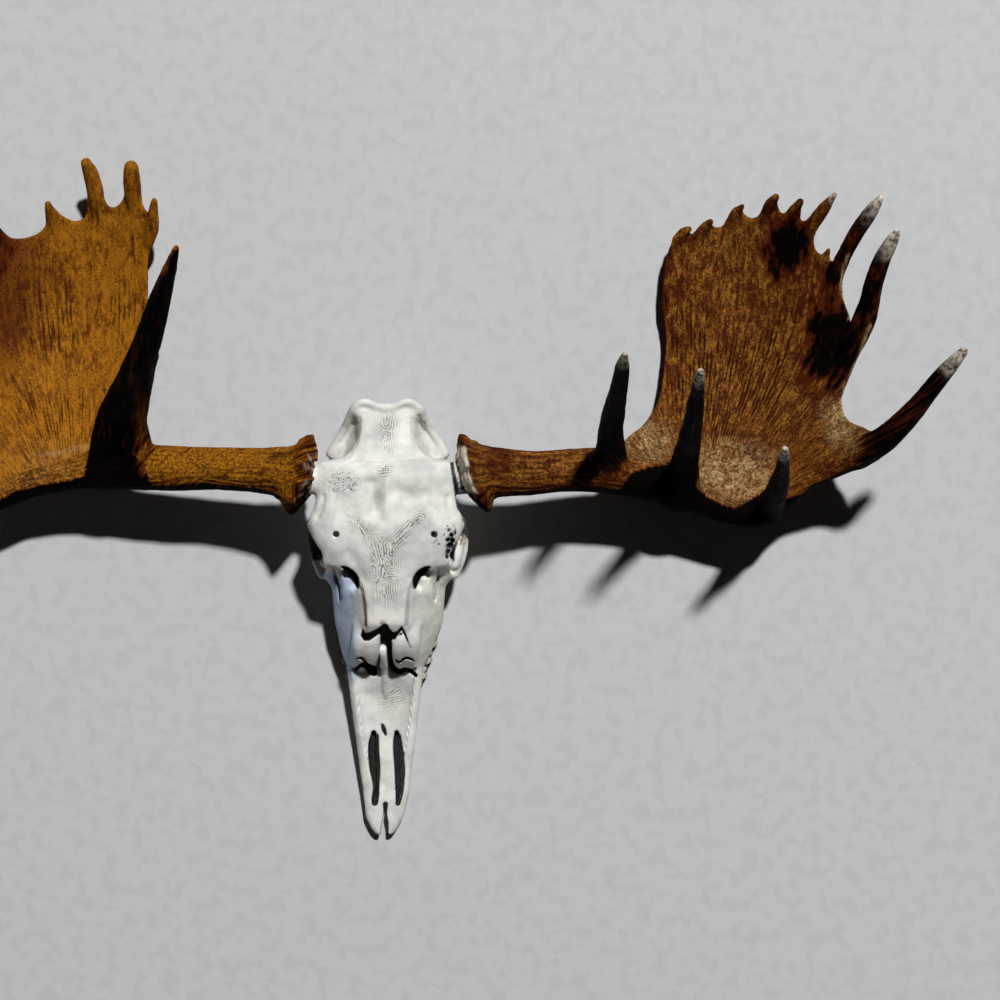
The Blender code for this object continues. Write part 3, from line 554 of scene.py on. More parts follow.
skull = {
    "box": ((-119, -458, 0), (119, 140, 190)),
    # half outlines (x, z), from the top of the midline round to the bottom of it
    "sections": {
        124: [(0, 142), (20, 145), (33, 146), (41, 141), (46, 128), (49, 112), (48, 100), (45, 88),
              (39, 72), (29, 60), (14, 56), (0, 56)],
        114: [(0, 148), (20, 149), (33, 148), (42, 143), (49, 130), (52, 115), (53, 105), (50, 92),
              (44, 74), (32, 58), (15, 53), (0, 52)],
        100: [(0, 151), (18, 151), (31, 148), (37, 138), (43, 124), (51, 113), (58, 111), (59, 103),
              (48, 80), (34, 56), (16, 50), (0, 49)],
        80: [(0, 153), (20, 153), (34, 149), (38, 138), (44, 122), (54, 109), (67, 106), (69, 98),
             (52, 78), (36, 54), (17, 48), (0, 47)],
        62: [(0, 157), (24, 157), (43, 152), (46, 141), (50, 122), (58, 107), (78, 99), (80, 90),
             (56, 74), (36, 52), (17, 46), (0, 46)],
        55: [(0, 160), (26, 160), (48, 156), (56, 146), (54, 128), (60, 108), (76, 98), (78, 88),
             (54, 72), (35, 51), (17, 46), (0, 45)],
        49: [(0, 169), (38, 170), (68, 168), (87, 158), (80, 144), (57, 126), (56, 104), (58, 88),
             (46, 70), (32, 50), (16, 45), (0, 45)],
        30: [(0, 171), (40, 173), (70, 171), (87, 159), (80, 143), (56, 126), (44, 106), (43, 92),
             (38, 70), (30, 50), (16, 45), (0, 45)],
        5: [(0, 168), (38, 171), (70, 167), (88, 154), (82, 141), (57, 126), (42, 106), (41, 92),
            (36, 70), (28, 50), (15, 45), (0, 45)],
        -15: [(0, 168), (38, 171), (72, 167), (91, 153), (84, 142), (57, 126), (42, 106), (40, 92),
              (35, 70), (27, 50), (15, 45), (0, 45)],
        -32: [(0, 171), (38, 172), (76, 167), (97, 152), (89, 141), (60, 124), (43, 106), (40, 92),
              (35, 70), (27, 50), (15, 45), (0, 45)],
        -50: [(0, 169), (36, 169), (70, 164), (92, 150), (85, 139), (60, 120), (44, 104), (42, 90),
              (36, 68), (27, 49), (14, 44), (0, 44)],
        -66: [(0, 165), (34, 165), (62, 161), (82, 151), (76, 138), (60, 116), (48, 102), (44, 88),
              (38, 66), (30, 46), (14, 41), (0, 41)],
        -84: [(0, 160), (30, 160), (54, 155), (80, 146), (79, 129), (72, 112), (63, 92), (60, 74),
              (54, 52), (42, 34), (18, 36), (0, 36)],
        -91: [(0, 158), (28, 158), (50, 150), (72, 136), (80, 118), (79, 100), (73, 82), (68, 66),
              (61, 48), (50, 30), (22, 33), (0, 34)],
        -100: [(0, 157), (26, 155), (45, 143), (64, 123), (81, 104), (86, 88), (81, 70), (73, 50),
               (66, 34), (54, 25), (24, 30), (0, 32)],
        -115: [(0, 154), (24, 152), (38, 142), (54, 122), (68, 104), (75, 88), (74, 70), (71, 50),
               (66, 34), (56, 24), (26, 30), (0, 32)],
        -140: [(0, 149), (22, 147), (29, 140), (45, 121), (63, 100), (72, 84), (73.5, 66), (71, 48),
               (65, 34), (56, 24), (26, 30), (0, 32)],
        -162: [(0, 144), (22, 142), (27, 134), (43, 113), (61, 90), (70, 76), (72, 60), (70, 44),
               (63, 32), (55, 23), (26, 30), (0, 32)],
        -180: [(0, 130), (22, 126), (32, 114), (47, 97), (58, 82), (65, 68), (67, 55), (64, 42),
               (60, 31), (52, 23), (26, 29), (0, 31)],
        -200: [(0, 96), (22, 96), (34, 93), (46, 83), (55, 69), (60, 59), (61, 49), (58, 38),
               (55, 29), (47, 21), (24, 27), (0, 29)],
        -222: [(0, 76), (20, 76), (34, 74), (42, 68), (47, 60), (51, 52), (52, 44), (51, 36),
               (49, 28), (42, 20), (22, 25), (0, 27)],
        -250: [(0, 60), (20, 60), (34, 58), (42, 54), (46, 50), (48, 45), (48.5, 39), (47, 33),
               (43, 26), (36, 18), (20, 22), (0, 24)],
        -300: [(0, 47), (18, 47), (30, 46), (37, 43), (41, 39), (43, 35), (43, 31), (41, 26),
               (37, 20), (30, 15), (16, 18), (0, 19)],
        -350: [(0, 37), (16, 37), (26, 36), (32, 34), (35, 31), (36.5, 27), (36.5, 23), (35, 20),
               (31, 16), (25, 12), (13, 14), (0, 15)],
        -400: [(0, 30), (13, 30), (21, 29), (26, 27), (29, 25), (30.5, 21), (30.5, 18), (29, 15),
               (25, 12), (19, 9), (10, 11), (0, 12)],
        -430: [(0, 26), (10, 26), (17, 25.5), (21, 24), (24, 21), (25.5, 18), (25, 16), (23, 13.5),
               (18, 11), (14, 9), (7, 10), (0, 11)],
        -446: [(0, 23), (6, 23), (11, 22.5), (14, 21), (16, 19.5), (17, 17), (17, 15), (15, 13),
               (11, 11.5), (8, 11), (4, 12), (0, 12)],
        -453: [(0, 21), (4, 21), (7, 20.5), (9, 19.5), (10.5, 18.5), (11.5, 17), (11.5, 15.5),
               (10.5, 14), (8, 12.5), (6, 12), (3, 12), (0, 12)],
    },
    # the hollow nose, open above in front of the nasal bones
    "nose": {
        -88: [(0, 132), (10, 130), (20, 118), (30, 98), (34, 76), (32, 54), (24, 44), (0, 42)],
        -130: [(0, 140), (15, 138), (22, 126), (38, 100), (48, 76), (46, 50), (38, 40), (0, 38)],
        -166: [(0, 130), (16, 128), (22, 118), (38, 96), (52, 70), (52, 48), (44, 36), (0, 35)],
        -176: [(0, 126), (24, 124), (26, 114), (38, 92), (51, 68), (52, 48), (42, 36), (0, 35)],
        -178: [(0, 190), (28, 190), (29, 114), (38, 90), (50, 66), (51, 48), (42, 36), (0, 35)],
        -200: [(0, 190), (36, 190), (37, 94), (41, 76), (46, 58), (46, 46), (38, 37), (0, 35)],
        -218: [(0, 190), (39, 190), (39, 82), (41, 70), (44, 60), (42, 57), (34, 54), (0, 53)],
        -230: [(0, 190), (40, 190), (40, 72), (41, 66), (42, 62), (40, 59), (32, 57), (0, 55)],
        -260: [(0, 190), (39, 190), (38, 60), (37, 52), (34, 47), (28, 43), (20, 41), (0, 40)],
        -300: [(0, 190), (35, 190), (34, 52), (32, 43), (28, 38), (21, 35), (14, 34), (0, 34)],
        -340: [(0, 190), (28, 190), (27, 44), (25, 37), (21, 33.5), (15, 32), (9, 31.5), (0, 31.5)],
        -385: [(0, 190), (17, 190), (16, 36), (14, 32), (11, 30), (8, 29.5), (5, 29), (0, 29)],
        -402: [(0, 190), (6, 190), (6, 36), (5, 32), (4, 30.5), (3, 30), (2, 30), (0, 30)],
    },
    "noseBox": ((-70, -411, 20), (70, -80, 190)),
    # (x, y, z, radius) along the middle
    "pedicle": [(50, 28, 140, 21), (76, 27, 140, 21), (104, 30, 143, 22)],
    "rightCheek": [(96, -42, 92, 5), (93, -58, 94, 7.5), (90, -72, 94, 8), (87, -84, 93, 8)],
    "vomer": [(-4, -190, 84, 3.6), (-2.5, -198, 98, 4.6), (-1, -213, 84, 4.8), (0.5, -230, 56, 5),
              (1, -262, 36, 6)],
    "browHole": [(62, -45, 190, 4.2), (66, -42, 110, 4)],
    "tearHole": [(67, -92, 121, 3.2), (65, -112, 111, 3), (62, -134, 102, 1.4)],
    "neckHole": [(0, 142, 88, 15), (0, 92, 84, 14)],
    # centre and radii
    "palateHollow": (0, -170, 18, 44, 86, 15),
    "throatHollow": (0, -42, 34, 13, 46, 22),
    "scrolls": ((20, 0), (32, 5)),  # how far each scroll of the nose is to the side, and how much lower
}

skullLimbs = [
    # name, blend, (x, y, z, radius) along the middle, for the right side and mirrored
    ("cheek arch", 4, [(58, 68, 98, 9), (68, 56, 92, 8), (76, 34, 88, 6.5), (80, 10, 88, 5),
                       (88, -12, 90, 4.5), (98, -32, 90, 4.2), (102, -50, 88, 4.5), (97, -74, 85, 6.5),
                       (86, -96, 82, 9)]),
    ("cheek arch, lower", 4, [(80, 4, 82, 4), (88, -16, 80, 4), (96, -38, 75, 4.5), (96, -60, 72, 5),
                              (88, -84, 72, 7)]),
    ("bar behind the eye", 5, [(89, -24, 147, 8), (92, -24, 130, 6), (94, -26, 110, 5.5),
                               (96, -28, 92, 6)]),
    ("crest over the neck", 5, [(0, 119, 144, 5), (12, 121, 146, 5), (23, 126, 147, 5), (33, 126, 146, 5),
                                (42, 119, 141, 5), (49, 107, 128, 5.5), (56, 94, 115, 5),
                                (66, 78, 106, 4.5), (76, 61, 98, 5)]),
    ("process beside the neck", 6, [(44, 88, 74, 13), (47, 86, 52, 9), (46, 84, 30, 7), (44, 82, 9, 5)]),
    ("wing of the palate", 4, [(20, 24, 52, 8), (17, -8, 46, 5), (16, -36, 38, 4.5), (17, -62, 33, 6)]),
    ("side of the palate", 6, [(17, -62, 33, 7), (30, -82, 34, 12), (42, -94, 34, 14)]),
    ("ear tube", 4, [(38, 66, 60, 10), (52, 64, 72, 8), (62, 66, 80, 6)]),
    ("lobe in the vacuity", 3, [(48, -104, 124, 7), (50, -117, 117, 9.5), (53, -131, 103, 9.5),
                                (55, -143, 92, 7)]),
    ("brow rim", 4, [(97, -32, 143, 4.5), (92, -46, 141, 4), (84, -60, 138, 4), (77, -72, 134, 5),
                     (82, -82, 128, 5)]),
]
skullBlobs = [
    # name, blend, centre, radii
    ("braincase", 8, (0, 58, 102, 47, 60, 46)),
    ("condyle", 5, (24, 116, 70, 15, 14, 20)),
    ("ear capsule", 4, (34, 60, 46, 12, 16, 13)),
    ("brow swelling", 14, (64, -30, 152, 26, 30, 14)),
]
skullHollows = [
    ("eye socket", 4, (92, -54, 110, 40, 31, 27)),
    ("vacuity's floor", 4, (48, -104, 138, 11, 17, 14, -20)),
    ("hollow behind the cheek arch", 6, (70, 6, 96, 26, 34, 34)),
]


skullSlots = [
    # lowest and highest z, blend, how much painted shade inside, (x, y, half width) along the middle
    ("beside the vomer", 36, 150, 1.2, 1, [(5.5, -192, 3.2), (7.5, -208, 3.2), (9.5, -219, 3.8),
                                           (14, -226, 4.4), (21, -229, 3.6), (27, -226, 3),
                                           (34, -228, 3), (42, -235, 2.2)]),
    ("left of the vomer", 38, 110, 1.2, 1, [(-38, -226, 1.4), (-31, -219, 2.6), (-24, -220, 5),
                                            (-18, -226, 6.5), (-15, -231, 5)]),
    ("left scroll", 60, 140, 1, 0.9, [(-35, -209, 0.9), (-30, -208, 1.6), (-26, -212, 1.8),
                                      (-22, -217, 1.2)]),
    ("right scroll", 60, 140, 1, 0.9, [(16, -211, 1), (21, -214, 1.2), (27, -208.5, 1.8), (33, -209, 1.4),
                                       (38, -212, 1)]),
    ("left slot of the snout", 21, 70, 1.5, 1, [(-16, -314, 3), (-17, -332, 6.2), (-15.5, -360, 6.2),
                                                (-13.5, -386, 3.6), (-14.5, -404, 4.4), (-14.5, -409, 4)]),
    ("right slot of the snout", 21, 70, 1.5, 1, [(15, -314, 3), (16, -332, 6), (18.5, -360, 6.5),
                                                 (18.5, -385, 5.5), (17, -410, 3)]),
    ("foot of the left slot", -10, 40, 1, 1, [(-11.5, -318, 2), (-12, -335, 2.8), (-10.5, -360, 2.8),
                                              (-10.5, -384, 1.8), (-11.5, -402, 2)]),
    ("foot of the right slot", -10, 40, 1, 1, [(18.5, -318, 2), (20.5, -335, 2.6), (23, -360, 2.8),
                                               (22.5, -385, 2.2), (20, -404, 1.6)]),
    ("notch of the snout", -10, 70, 1.5, 1, [(0, -411, 3), (0.5, -424, 2.2), (1, -438, 4.6), (0, -458, 5)]),
    ("hole in the floor", -10, 70, 1, 1, [(-4.5, -303, 1.2), (-2.5, -309, 2.6), (0, -316, 1.6)]),
    ("slit of the nose", 50, 190, 1.5, 0, [(-1, -166, 5), (0, -177, 7.2), (1.2, -188, 7.5), (4, -197, 5.2),
                                           (5.8, -204, 3.4)]),
]
vacuitySlot = [(56, -87, 1.5), (50, -90, 3.2), (43, -96, 4.2), (38.5, -104, 3.8), (37, -114, 1.5)]
noseEdge = [(-31, -168), (-27, -174), (-21, -173), (-12, -168), (-3, -161.5), (4, -167), (10, -172.5),
            (15, -171), (20.5, -164), (29, -182), (35, -196), (27.5, -183), (20.5, -169), (16, -176),
            (12, -183), (7, -182), (-9, -175), (-15, -179.5), (-21, -184), (-28, -184.5), (-33, -178)]


def noseTurbinates(block):
    for side in (-1, 1):
        for across, inset in skull["scrolls"]:
            addLimb(block, [(across, -164, 113 - inset, 12), (across, -184, 111 - inset, 13.5),
                            (across, -200, 95 - inset, 13), (across, -211, 77 - inset, 11),
                            (across, -220, 61 - inset * 0.6, 8)], 5, side)
    for _, low, high, blend, _, line in skullSlots:
        carveSlot(block, line, low, high, blend)
    addLimb(block, skull["vomer"], 1.5)


def skullBlock():
    block = ClayBlock(*skull["box"], detail["step"])
    cuts, x, y, z = block.window(*skull["box"])
    block.field[cuts] = loftDistance(skull["sections"], x, y, z)
    addBlob(block, skullBlobs[0][2], skullBlobs[0][1])
    for side in (-1, 1):
        addLimb(block, skull["pedicle"], 7, side)
    cuts, x, y, z = block.window(*skull["noseBox"])
    block.carve(cuts, loftDistance(skull["nose"], x, y, z), 2.5)
    for side in (-1, 1):
        for _, blend, blob in skullHollows:
            addBlob(block, blob, blend, side, carve=True)
    addBlob(block, skull["palateHollow"], 5, carve=True)
    for side in (-1, 1):
        for _, blend, limb in skullLimbs:
            addLimb(block, limb, blend, side)
        for _, blend, blob in skullBlobs[1:]:
            addBlob(block, blob, blend, side)
    addLimb(block, skull["rightCheek"], 4)
    noseTurbinates(block)
    carveSkullHoles(block)
    return block


wornHoles = [(82, -38, 155, 2.6, 3.2, 9), (85, -45, 153, 3.6, 3.6, 10), (80.5, -51, 154, 3.6, 3.2, 11),
             (86, -52, 152, 2.8, 4, 10), (83, -59, 152, 4.2, 5, 12), (80.5, -67, 150, 3.4, 4.5, 12),
             (79.5, -73, 148, 2.6, 3.6, 10), (76, -44, 157, 1.3, 1.6, 5), (90, -41, 150, 2, 5, 7),
             (66, -49, 160, 1.2, 1.4, 4), (69, -57, 159, 1.4, 1.2, 4), (80, -33, 156, 1.3, 1.5, 5)]


def carveSkullHoles(block):
    carvePrism(block, noseEdge, 66, 190)
    for hole in wornHoles:
        addBlob(block, hole, 1, carve=True)
    for side in (-1, 1):
        addLimb(block, skull["browHole"], 1.2, side, carve=True)
        addLimb(block, skull["tearHole"], 1.5, side, carve=True)
        carveSlot(block, vacuitySlot, 72, 190, 1.2, side)
    addLimb(block, skull["neckHole"], 3, carve=True)
    addBlob(block, skull["throatHollow"], 4, carve=True)


seamLines = [
    # name, depth, half width, points in x and y, for the right side and mirrored
    ("edge of the nasal bone", 2.4, 2.0, [(27, -164), (28, -150), (28.5, -135), (31, -118), (37, -104)]),
    ("groove of the tear bone", 2.2, 2.2, [(68, -92), (66, -104), (64, -118), (62, -130)]),
    ("seam across the brow", 0.7, 1.2, [(12, -62), (24, -40), (36, -28), (50, -20)]),
    ("temporal line", 1.4, 2.0, [(48, 57), (38, 75), (35, 90), (34, 105)]),
    ("step behind the brow", 1.8, 2.2, [(0, 51), (20, 51.5), (36, 54), (46, 50)]),
    ("hollow over the eye", 2.0, 3.5, [(80, 4), (82, -10), (87, -22)]),
]
browFolds = [
    # depth, half width, points in x and y
    (6.5, 9, [(-17, 20), (-15, 2), (-13, -12)]),
    (3.6, 9, [(16, 12), (34, 6), (52, 8)]),
    (-2.0, 5, [(1, 36), (2, 10), (0, -20)]),
    (-1.6, 9, [(58, -18), (66, -34)]),
    (2.5, 8, [(-46, -70), (-36, -86), (-30, -104)]),
]
swirlBones = [
    [(-36, -30), (-22, -56), (-16, -64), (-14, -96)],
    [(45, -23), (14, -52), (7, -60), (8, -84)],
    [(-2, -114), (-2, -152)],
    [(0, 64), (0, 82)],
    [(1, 98), (1, 116)],
    [(-60, -206), (-6, -232), (60, -206)],
]


def skullRelief(points, normals):
    # how far each point is moved outwards, in mm
    up = easeBetween(0.1, 0.6, normals[:, 2])
    move = 0.5 * layeredNoise(points, 26, 3) + 0.18 * noiseAt(points, 5, 9)
    mirrored = np.column_stack([np.abs(points[:, 0]), points[:, 1]])
    for _, depth, half, line in seamLines:
        gap = lineDistance(mirrored, line)
        move -= up * depth * bell(gap, half)
    for depth, half, line in browFolds:
        gap = lineDistance(points, line)
        move -= up * depth * bell(gap, half)
    swirl = swirlShare(points) * up
    move += swirl * 0.16 * np.sin(2 * math.pi * swirlLines(points))
    porous = porousShare(points) * up
    pits = easeBetween(0.35, 0.75, noiseAt(points, 2.6, 31))
    move -= 1.1 * porous * pits
    return move


def swirlLines(points):
    # counts the lines that lie one inside another round the middles of growth
    return (nearestLine(points, swirlBones) + 2.2 * noiseAt(points, (9, 9, 40), 71)) / 3.3


def swirlShare(points):
    # where the lines show: down the nasal bones, in two arms over the brow, at the back and in the nose
    y = points[:, 1]
    nasal = bell(points[:, 0], 17) * easeBetween(-150, -118, y) * (1 - easeBetween(-58, -36, y))
    arms = [bell(lineDistance(points, line), 9)
            for line in ([(-8, -62), (-22, -44), (-36, -28)], [(8, -62), (26, -42), (46, -24)])]
    back = mound(points, (2, 92), (19, 40)) * (y > 56)
    front = mound(points, (0, 38), (14, 12))
    floor = 0.75 * mound(points, (4, -262), (34, 36)) * (y < -238)
    return np.clip(np.maximum.reduce([nasal, *arms, 0.8 * back, front, floor]), 0, 1)


def porousShare(points):
    # where the bone is pitted with small dots
    patch = mound(points, (-53, 21), (25, 23)) * 1.8
    orbit = mound(points, (84, -46), (11, 20)) * 2.2
    crown = mound(points, (0, 41), (12, 10)) * 1.2
    upper = mound(points, (46, 100), (10, 18)) * 1.2
    small = mound(points, (64, -52), (7, 14))
    columns = [1.3 * mound(points, middle, size) for middle, size in (
        ((-15, -76), (6, 24)), ((8, -68), (5, 17)), ((-34, -33), (9, 6)), ((38, -28), (13, 7)))]
    return np.clip(np.maximum.reduce([patch, orbit, crown, upper, small, *columns]), 0, 1)


def leanAt(y):
    return 6.4 * easeBetween(150, 240, -y) + 2.6 * easeBetween(398, 446, -y)


def skewed(points):
    # the snout leans a little to the left
    points[:, 0] -= leanAt(points[:, 1])
    return points


def makeSkull():
    block = skullBlock()
    for tooth in allTeeth():
        carveSocket(block, tooth)
    points, quads = withoutCrumbs(*skinOf(block))
    points = polish(block, points, quads)
    normals = unitSlope(block, points)
    points = skewed(points + normals * skullRelief(points, normals)[:, None])
    obj = meshFrom("skullBone", points, quads)
    thinOut(obj, detail["mostTriangles"])
    points, normals = pointsOf(obj), normalsOf(obj)
    up = easeBetween(0.0, 0.5, normals[:, 2])
    setValue(obj, "swirl", swirlShare(points) * up)
    setValue(obj, "contour", swirlLines(points))
    setValue(obj, "porous", porousShare(points) * up)
    setValue(obj, "stain", skullStain(points))
    setValue(obj, "blood", noseRedness(points))
    setValue(obj, "shade", socketShade(points))
    setValue(obj, "side", paintedSideLight(points))
    print("skull made:", len(obj.data.polygons), "faces")
    return obj


def paintedSideLight(points):
    # painted light: from -1 on the left side of the face, painted bluish as cool light on its shaded side,
    # to 1 on the right, painted yellowish as warm light on its lit side
    x, y, _ = points.T
    share = np.clip(x / 70, -1, 1) * easeBetween(20, 45, np.abs(x))
    return share * (1 - easeBetween(-106, -84, y)) * easeBetween(-262, -226, y)


def skullStain(points):
    orbit = mound(points, (82, -51, 148), (12, 25, 20)) * 2.2
    upper = mound(points, (47, 104, 140), (9, 16, 20))
    rim = mound(points, (96, 6, 140), (12, 20, 20)) * 0.6
    nasal = mound(points, (-4.5, -159, 145), (5, 4.5, 14)) * 1.6
    cheek = mound(points, (97, -50, 92), (10, 15, 40)) * 2.0
    return np.clip(np.maximum.reduce([orbit, upper, rim, nasal, cheek]), 0, 1)


def noseRedness(points):
    # dark red deep in the nose, behind the vomer
    inside = (np.abs(points[:, 0]) < 30) & (points[:, 1] < -96) & (points[:, 1] > -235)
    deep = 1 - easeBetween(88, 96, points[:, 2] - 0.3 * (points[:, 1] + 170))
    middle = 1 - easeBetween(9, 15, np.abs(points[:, 0] - 3))
    return inside * deep * middle * easeBetween(-215, -180, points[:, 1])


def slotShare(points, line):
    # 1 inside an upright slot along a line of (x, y, half width)
    path = throughPoints(line, 5)
    best = np.full(len(points), 99.0)
    for a, b in zip(path, path[1:]):
        run = (b - a)[:2]
        t = np.clip(((points[:, :2] - a[:2]) @ run) / max(run @ run, 1e-6), 0, 1)
        gap = np.hypot(points[:, 0] - a[0] - t * run[0], points[:, 1] - a[1] - t * run[1])
        best = np.minimum(best, gap - a[2] - (b[2] - a[2]) * t)
    return 1 - easeBetween(-0.3, 0.9, best)


hollowShades = [
    # how much painted shade, middle and size of the shaded hollows of the forehead and the left temple
    (0.34, (-8, 4), (13, 15)), (0.16, (34, 8), (30, 9)), (0.38, (-37, 88), (6, 26)),
]


def socketShade(points):
    # painted shade: the depths of the sockets, slots, holes and deep grooves, and the hollows of the
    # forehead, are painted darker where shade falls;
    # the two deep seams are painted darker on the left side of the face, which is turned from the light
    x, y, z = points.T
    left = x < 0
    straight = np.column_stack([x + leanAt(y), y])
    mirrored = np.column_stack([np.abs(straight[:, 0]), y])
    socket = easeBetween(72, 78, np.abs(x)) * (1 - easeBetween(-22, -8, y)) * (1 - easeBetween(122, 138, z))
    found = [
        socket * left * (1 - easeBetween(98, 101, -x)) * easeBetween(-82, -78, y),
        socket * ~left * (1 - easeBetween(87, 90, x)) * easeBetween(-84, -78, y),
        slotShare(mirrored, vacuitySlot) * (z > 60),
        noseEdgeShade(straight, z),
        leftCheekShade(x, y, z),
        burrGapShade(x, y, z),
        2.5 * mound(mirrored, skull["browHole"][0][:2], (3.4, 3.4)) * (z > 100),
    ]
    for _, low, high, _, dark, line in skullSlots:
        found.append(dark * slotShare(straight, line) * (z > low - 2) * (z < high + 2))
    for hole in wornHoles:
        found.append(2.5 * mound(points, hole[:3], (hole[3] * 1.25, hole[4] * 1.25, 20)))
    for (_, _, _, line), share in zip(seamLines, (1.0, 0.9)):  # the first two seams are the deep ones
        found.append(share * np.where(left, 1, 0.45) * bell(lineDistance(mirrored, line), 1.9) * (z > 60))
    for share, middle, size in hollowShades:
        found.append(share * mound(points, middle, size) * (z > 90))
    return np.clip(np.maximum.reduce(found), 0, 1)


def noseEdgeShade(straight, z):
    # painted shadow: the band under the edge of the nasal bones, where they shade the scrolls of the nose,
    # is painted black
    band = outlineDistance(np.array(noseEdge, float), straight[:, 0], straight[:, 1])
    return (1 - easeBetween(-0.6, 0.8, band)) * (z > 60) * easeBetween(5, 9, np.abs(straight[:, 0] - 1))


def leftCheekShade(x, y, z):
    # painted shadow: the top of the left cheek arch lies in the skull's shadow and is painted near black
    ends = (1 - easeBetween(-38, -32, y)) * easeBetween(-84, -76, y)
    return 0.9 * (x < 0) * (z < 115) * easeBetween(96, 99, -x) * ends


def burrGapShade(x, y, z):
    # painted shade: the gap between the right pedicle and the burr lies in shade and is painted black, with
    # a thin pale edge left unpainted in it
    gap = easeBetween(80.5, 82.5, x - 0.15 * (60 - y))
    gap = gap * easeBetween(-16, -8, y) * (1 - easeBetween(54, 62, y))
    sliver = bell(x - 89.5 - 0.22 * (46 - y), 1.2) * easeBetween(2, 12, y) * (z > 120)
    return gap * (1 - sliver)


boneLook = {
    "clean": (0.76, 0.75, 0.70),
    "shaded": (0.57, 0.565, 0.53),
    "line": (0.17, 0.165, 0.14),
    "pit": (0.10, 0.09, 0.075),
    "stain": (0.23, 0.15, 0.06),
    "red": (0.20, 0.012, 0.006),
    "paintedCoolLight": (0.33, 0.45, 0.68),
    "paintedWarmLight": (0.66, 0.66, 0.50),
    "paintedShade": (0.006, 0.006, 0.007),
    "roughness": 0.5,
    "specular": 0.25,
}


def boneMaterial():
    paint = Paint("bone")
    place = paint.place()
    soft = paint.noise(place, 38, 4)
    colour = paint.blend(paint.span(soft, 0.35, 0.7), boneLook["clean"], boneLook["shaded"])
    # painted light: a bluish tint on the left side of the face and a yellowish tint on the right
    side = paint.value("side")
    colour = paint.blend(paint.times(paint.span(side, -0.2, -0.9), 0.8), colour, boneLook["paintedCoolLight"])
    colour = paint.blend(paint.times(paint.span(side, 0.2, 0.9), 0.35), colour, boneLook["paintedWarmLight"])
    sway = paint.times(paint.noise(place, 160, 2), 3.0)
    turns = paint.sum("ADD", paint.times(paint.value("contour"), 2 * math.pi), sway)
    lines = paint.span(paint.sum("SINE", turns, 0.0), -0.1, 0.75)
    worms = paint.times(lines, paint.span(paint.noise(place, 70, 2), 0.34, 0.56, 0.2, 1))
    swirl = paint.value("swirl")
    colour = paint.blend(paint.times(worms, swirl), colour, boneLook["line"])
    holes = paint.sum("MAXIMUM", paint.span(paint.cells(place, 300), 0.2, 0.38, 1, 0),
                      paint.span(paint.cells(place, 560), 0.2, 0.34, 0.8, 0))
    porous = paint.value("porous")
    patchy = paint.span(paint.noise(place, 150, 2), 0.3, 0.46)
    dots = paint.times(holes, paint.times(patchy, paint.sum("MAXIMUM", porous, paint.times(swirl, 0.55))))
    stain = paint.times(paint.value("stain"), paint.span(paint.noise(place, 190, 3), 0.4, 0.62))
    colour = paint.blend(stain, colour, boneLook["stain"])
    colour = paint.blend(dots, colour, boneLook["pit"])
    colour = paint.blend(paint.value("blood"), colour, boneLook["red"])
    # painted shade: the shade attribute blends the bone towards near black
    colour = paint.blend(paint.value("shade"), colour, boneLook["paintedShade"])
    fine = paint.noise(place, 900, 3)
    height = paint.sum("SUBTRACT", paint.times(fine, 0.15), paint.times(dots, 1.0))
    height = paint.sum("SUBTRACT", height, paint.times(paint.times(worms, swirl), 0.35))
    normal = paint.bump(height, 0.6, 0.0006)
    paint.put(paint.shader.inputs["Specular IOR Level"], boneLook["specular"])
    rough = paint.span(soft, 0.3, 0.7, boneLook["roughness"] - 0.06, boneLook["roughness"] + 0.12)
    return paint.finish(colour, rough, normal)


# The cheek teeth

cheekTeeth = {
    # centre x, centre y, half width, half length, crown height, from front to back
    "rows": {
        "premolar_2": (47, -233, 8.5, 9.5, 17), "premolar_3": (51, -212, 10.5, 10.5, 19),
        "premolar_4": (55, -190, 11.2, 10.5, 20), "molar_1": (58.5, -165, 10.8, 13, 21),
        "molar_2": (60.5, -137, 11, 13.5, 22), "molar_3": (60, -108, 11, 14, 21),
    },
    "sides": {"left": -1, "right": 1},
    "rootTop": 33.5,
    "socketGap": 0.5,
}


def allTeeth():
    return [
        (f"{side}_{name}", sign, *sizes)
        for side, sign in cheekTeeth["sides"].items()
        for name, sizes in cheekTeeth["rows"].items()
    ]


def toothDistance(tooth, x, y, z):
    # two rounded columns side by side, waisted at the gum
    _, sign, cx, cy, halfWidth, halfLength, crown = tooth
    waist = 1 - 0.12 * easeBetween(crown - 6, crown + 4, z) - 0.08 * (1 - easeBetween(0, 7, z))
    across = (x - sign * cx) / waist
    found = None
    for end in (-1, 1):
        along = (y - cy - end * halfLength * 0.48) / waist
        column = np.sqrt((across / halfWidth) ** 2 + (along / (halfLength * 0.58)) ** 2) - 1
        column = column * halfLength * 0.6
        found = column if found is None else softMin(found, column, 1.6)
    ends = np.abs(z - cheekTeeth["rootTop"] / 2) - cheekTeeth["rootTop"] / 2
    return softMax(found, ends, 1.2)


def carveSocket(block, tooth):
    _, sign, cx, cy, halfWidth, halfLength, _ = tooth
    reach = max(halfWidth, halfLength) + 6
    cuts, x, y, z = block.window((sign * cx - reach, cy - reach, -4), (sign * cx + reach, cy + reach, 44))
    block.carve(cuts, toothDistance(tooth, x, y, z) - cheekTeeth["socketGap"], 0.8)


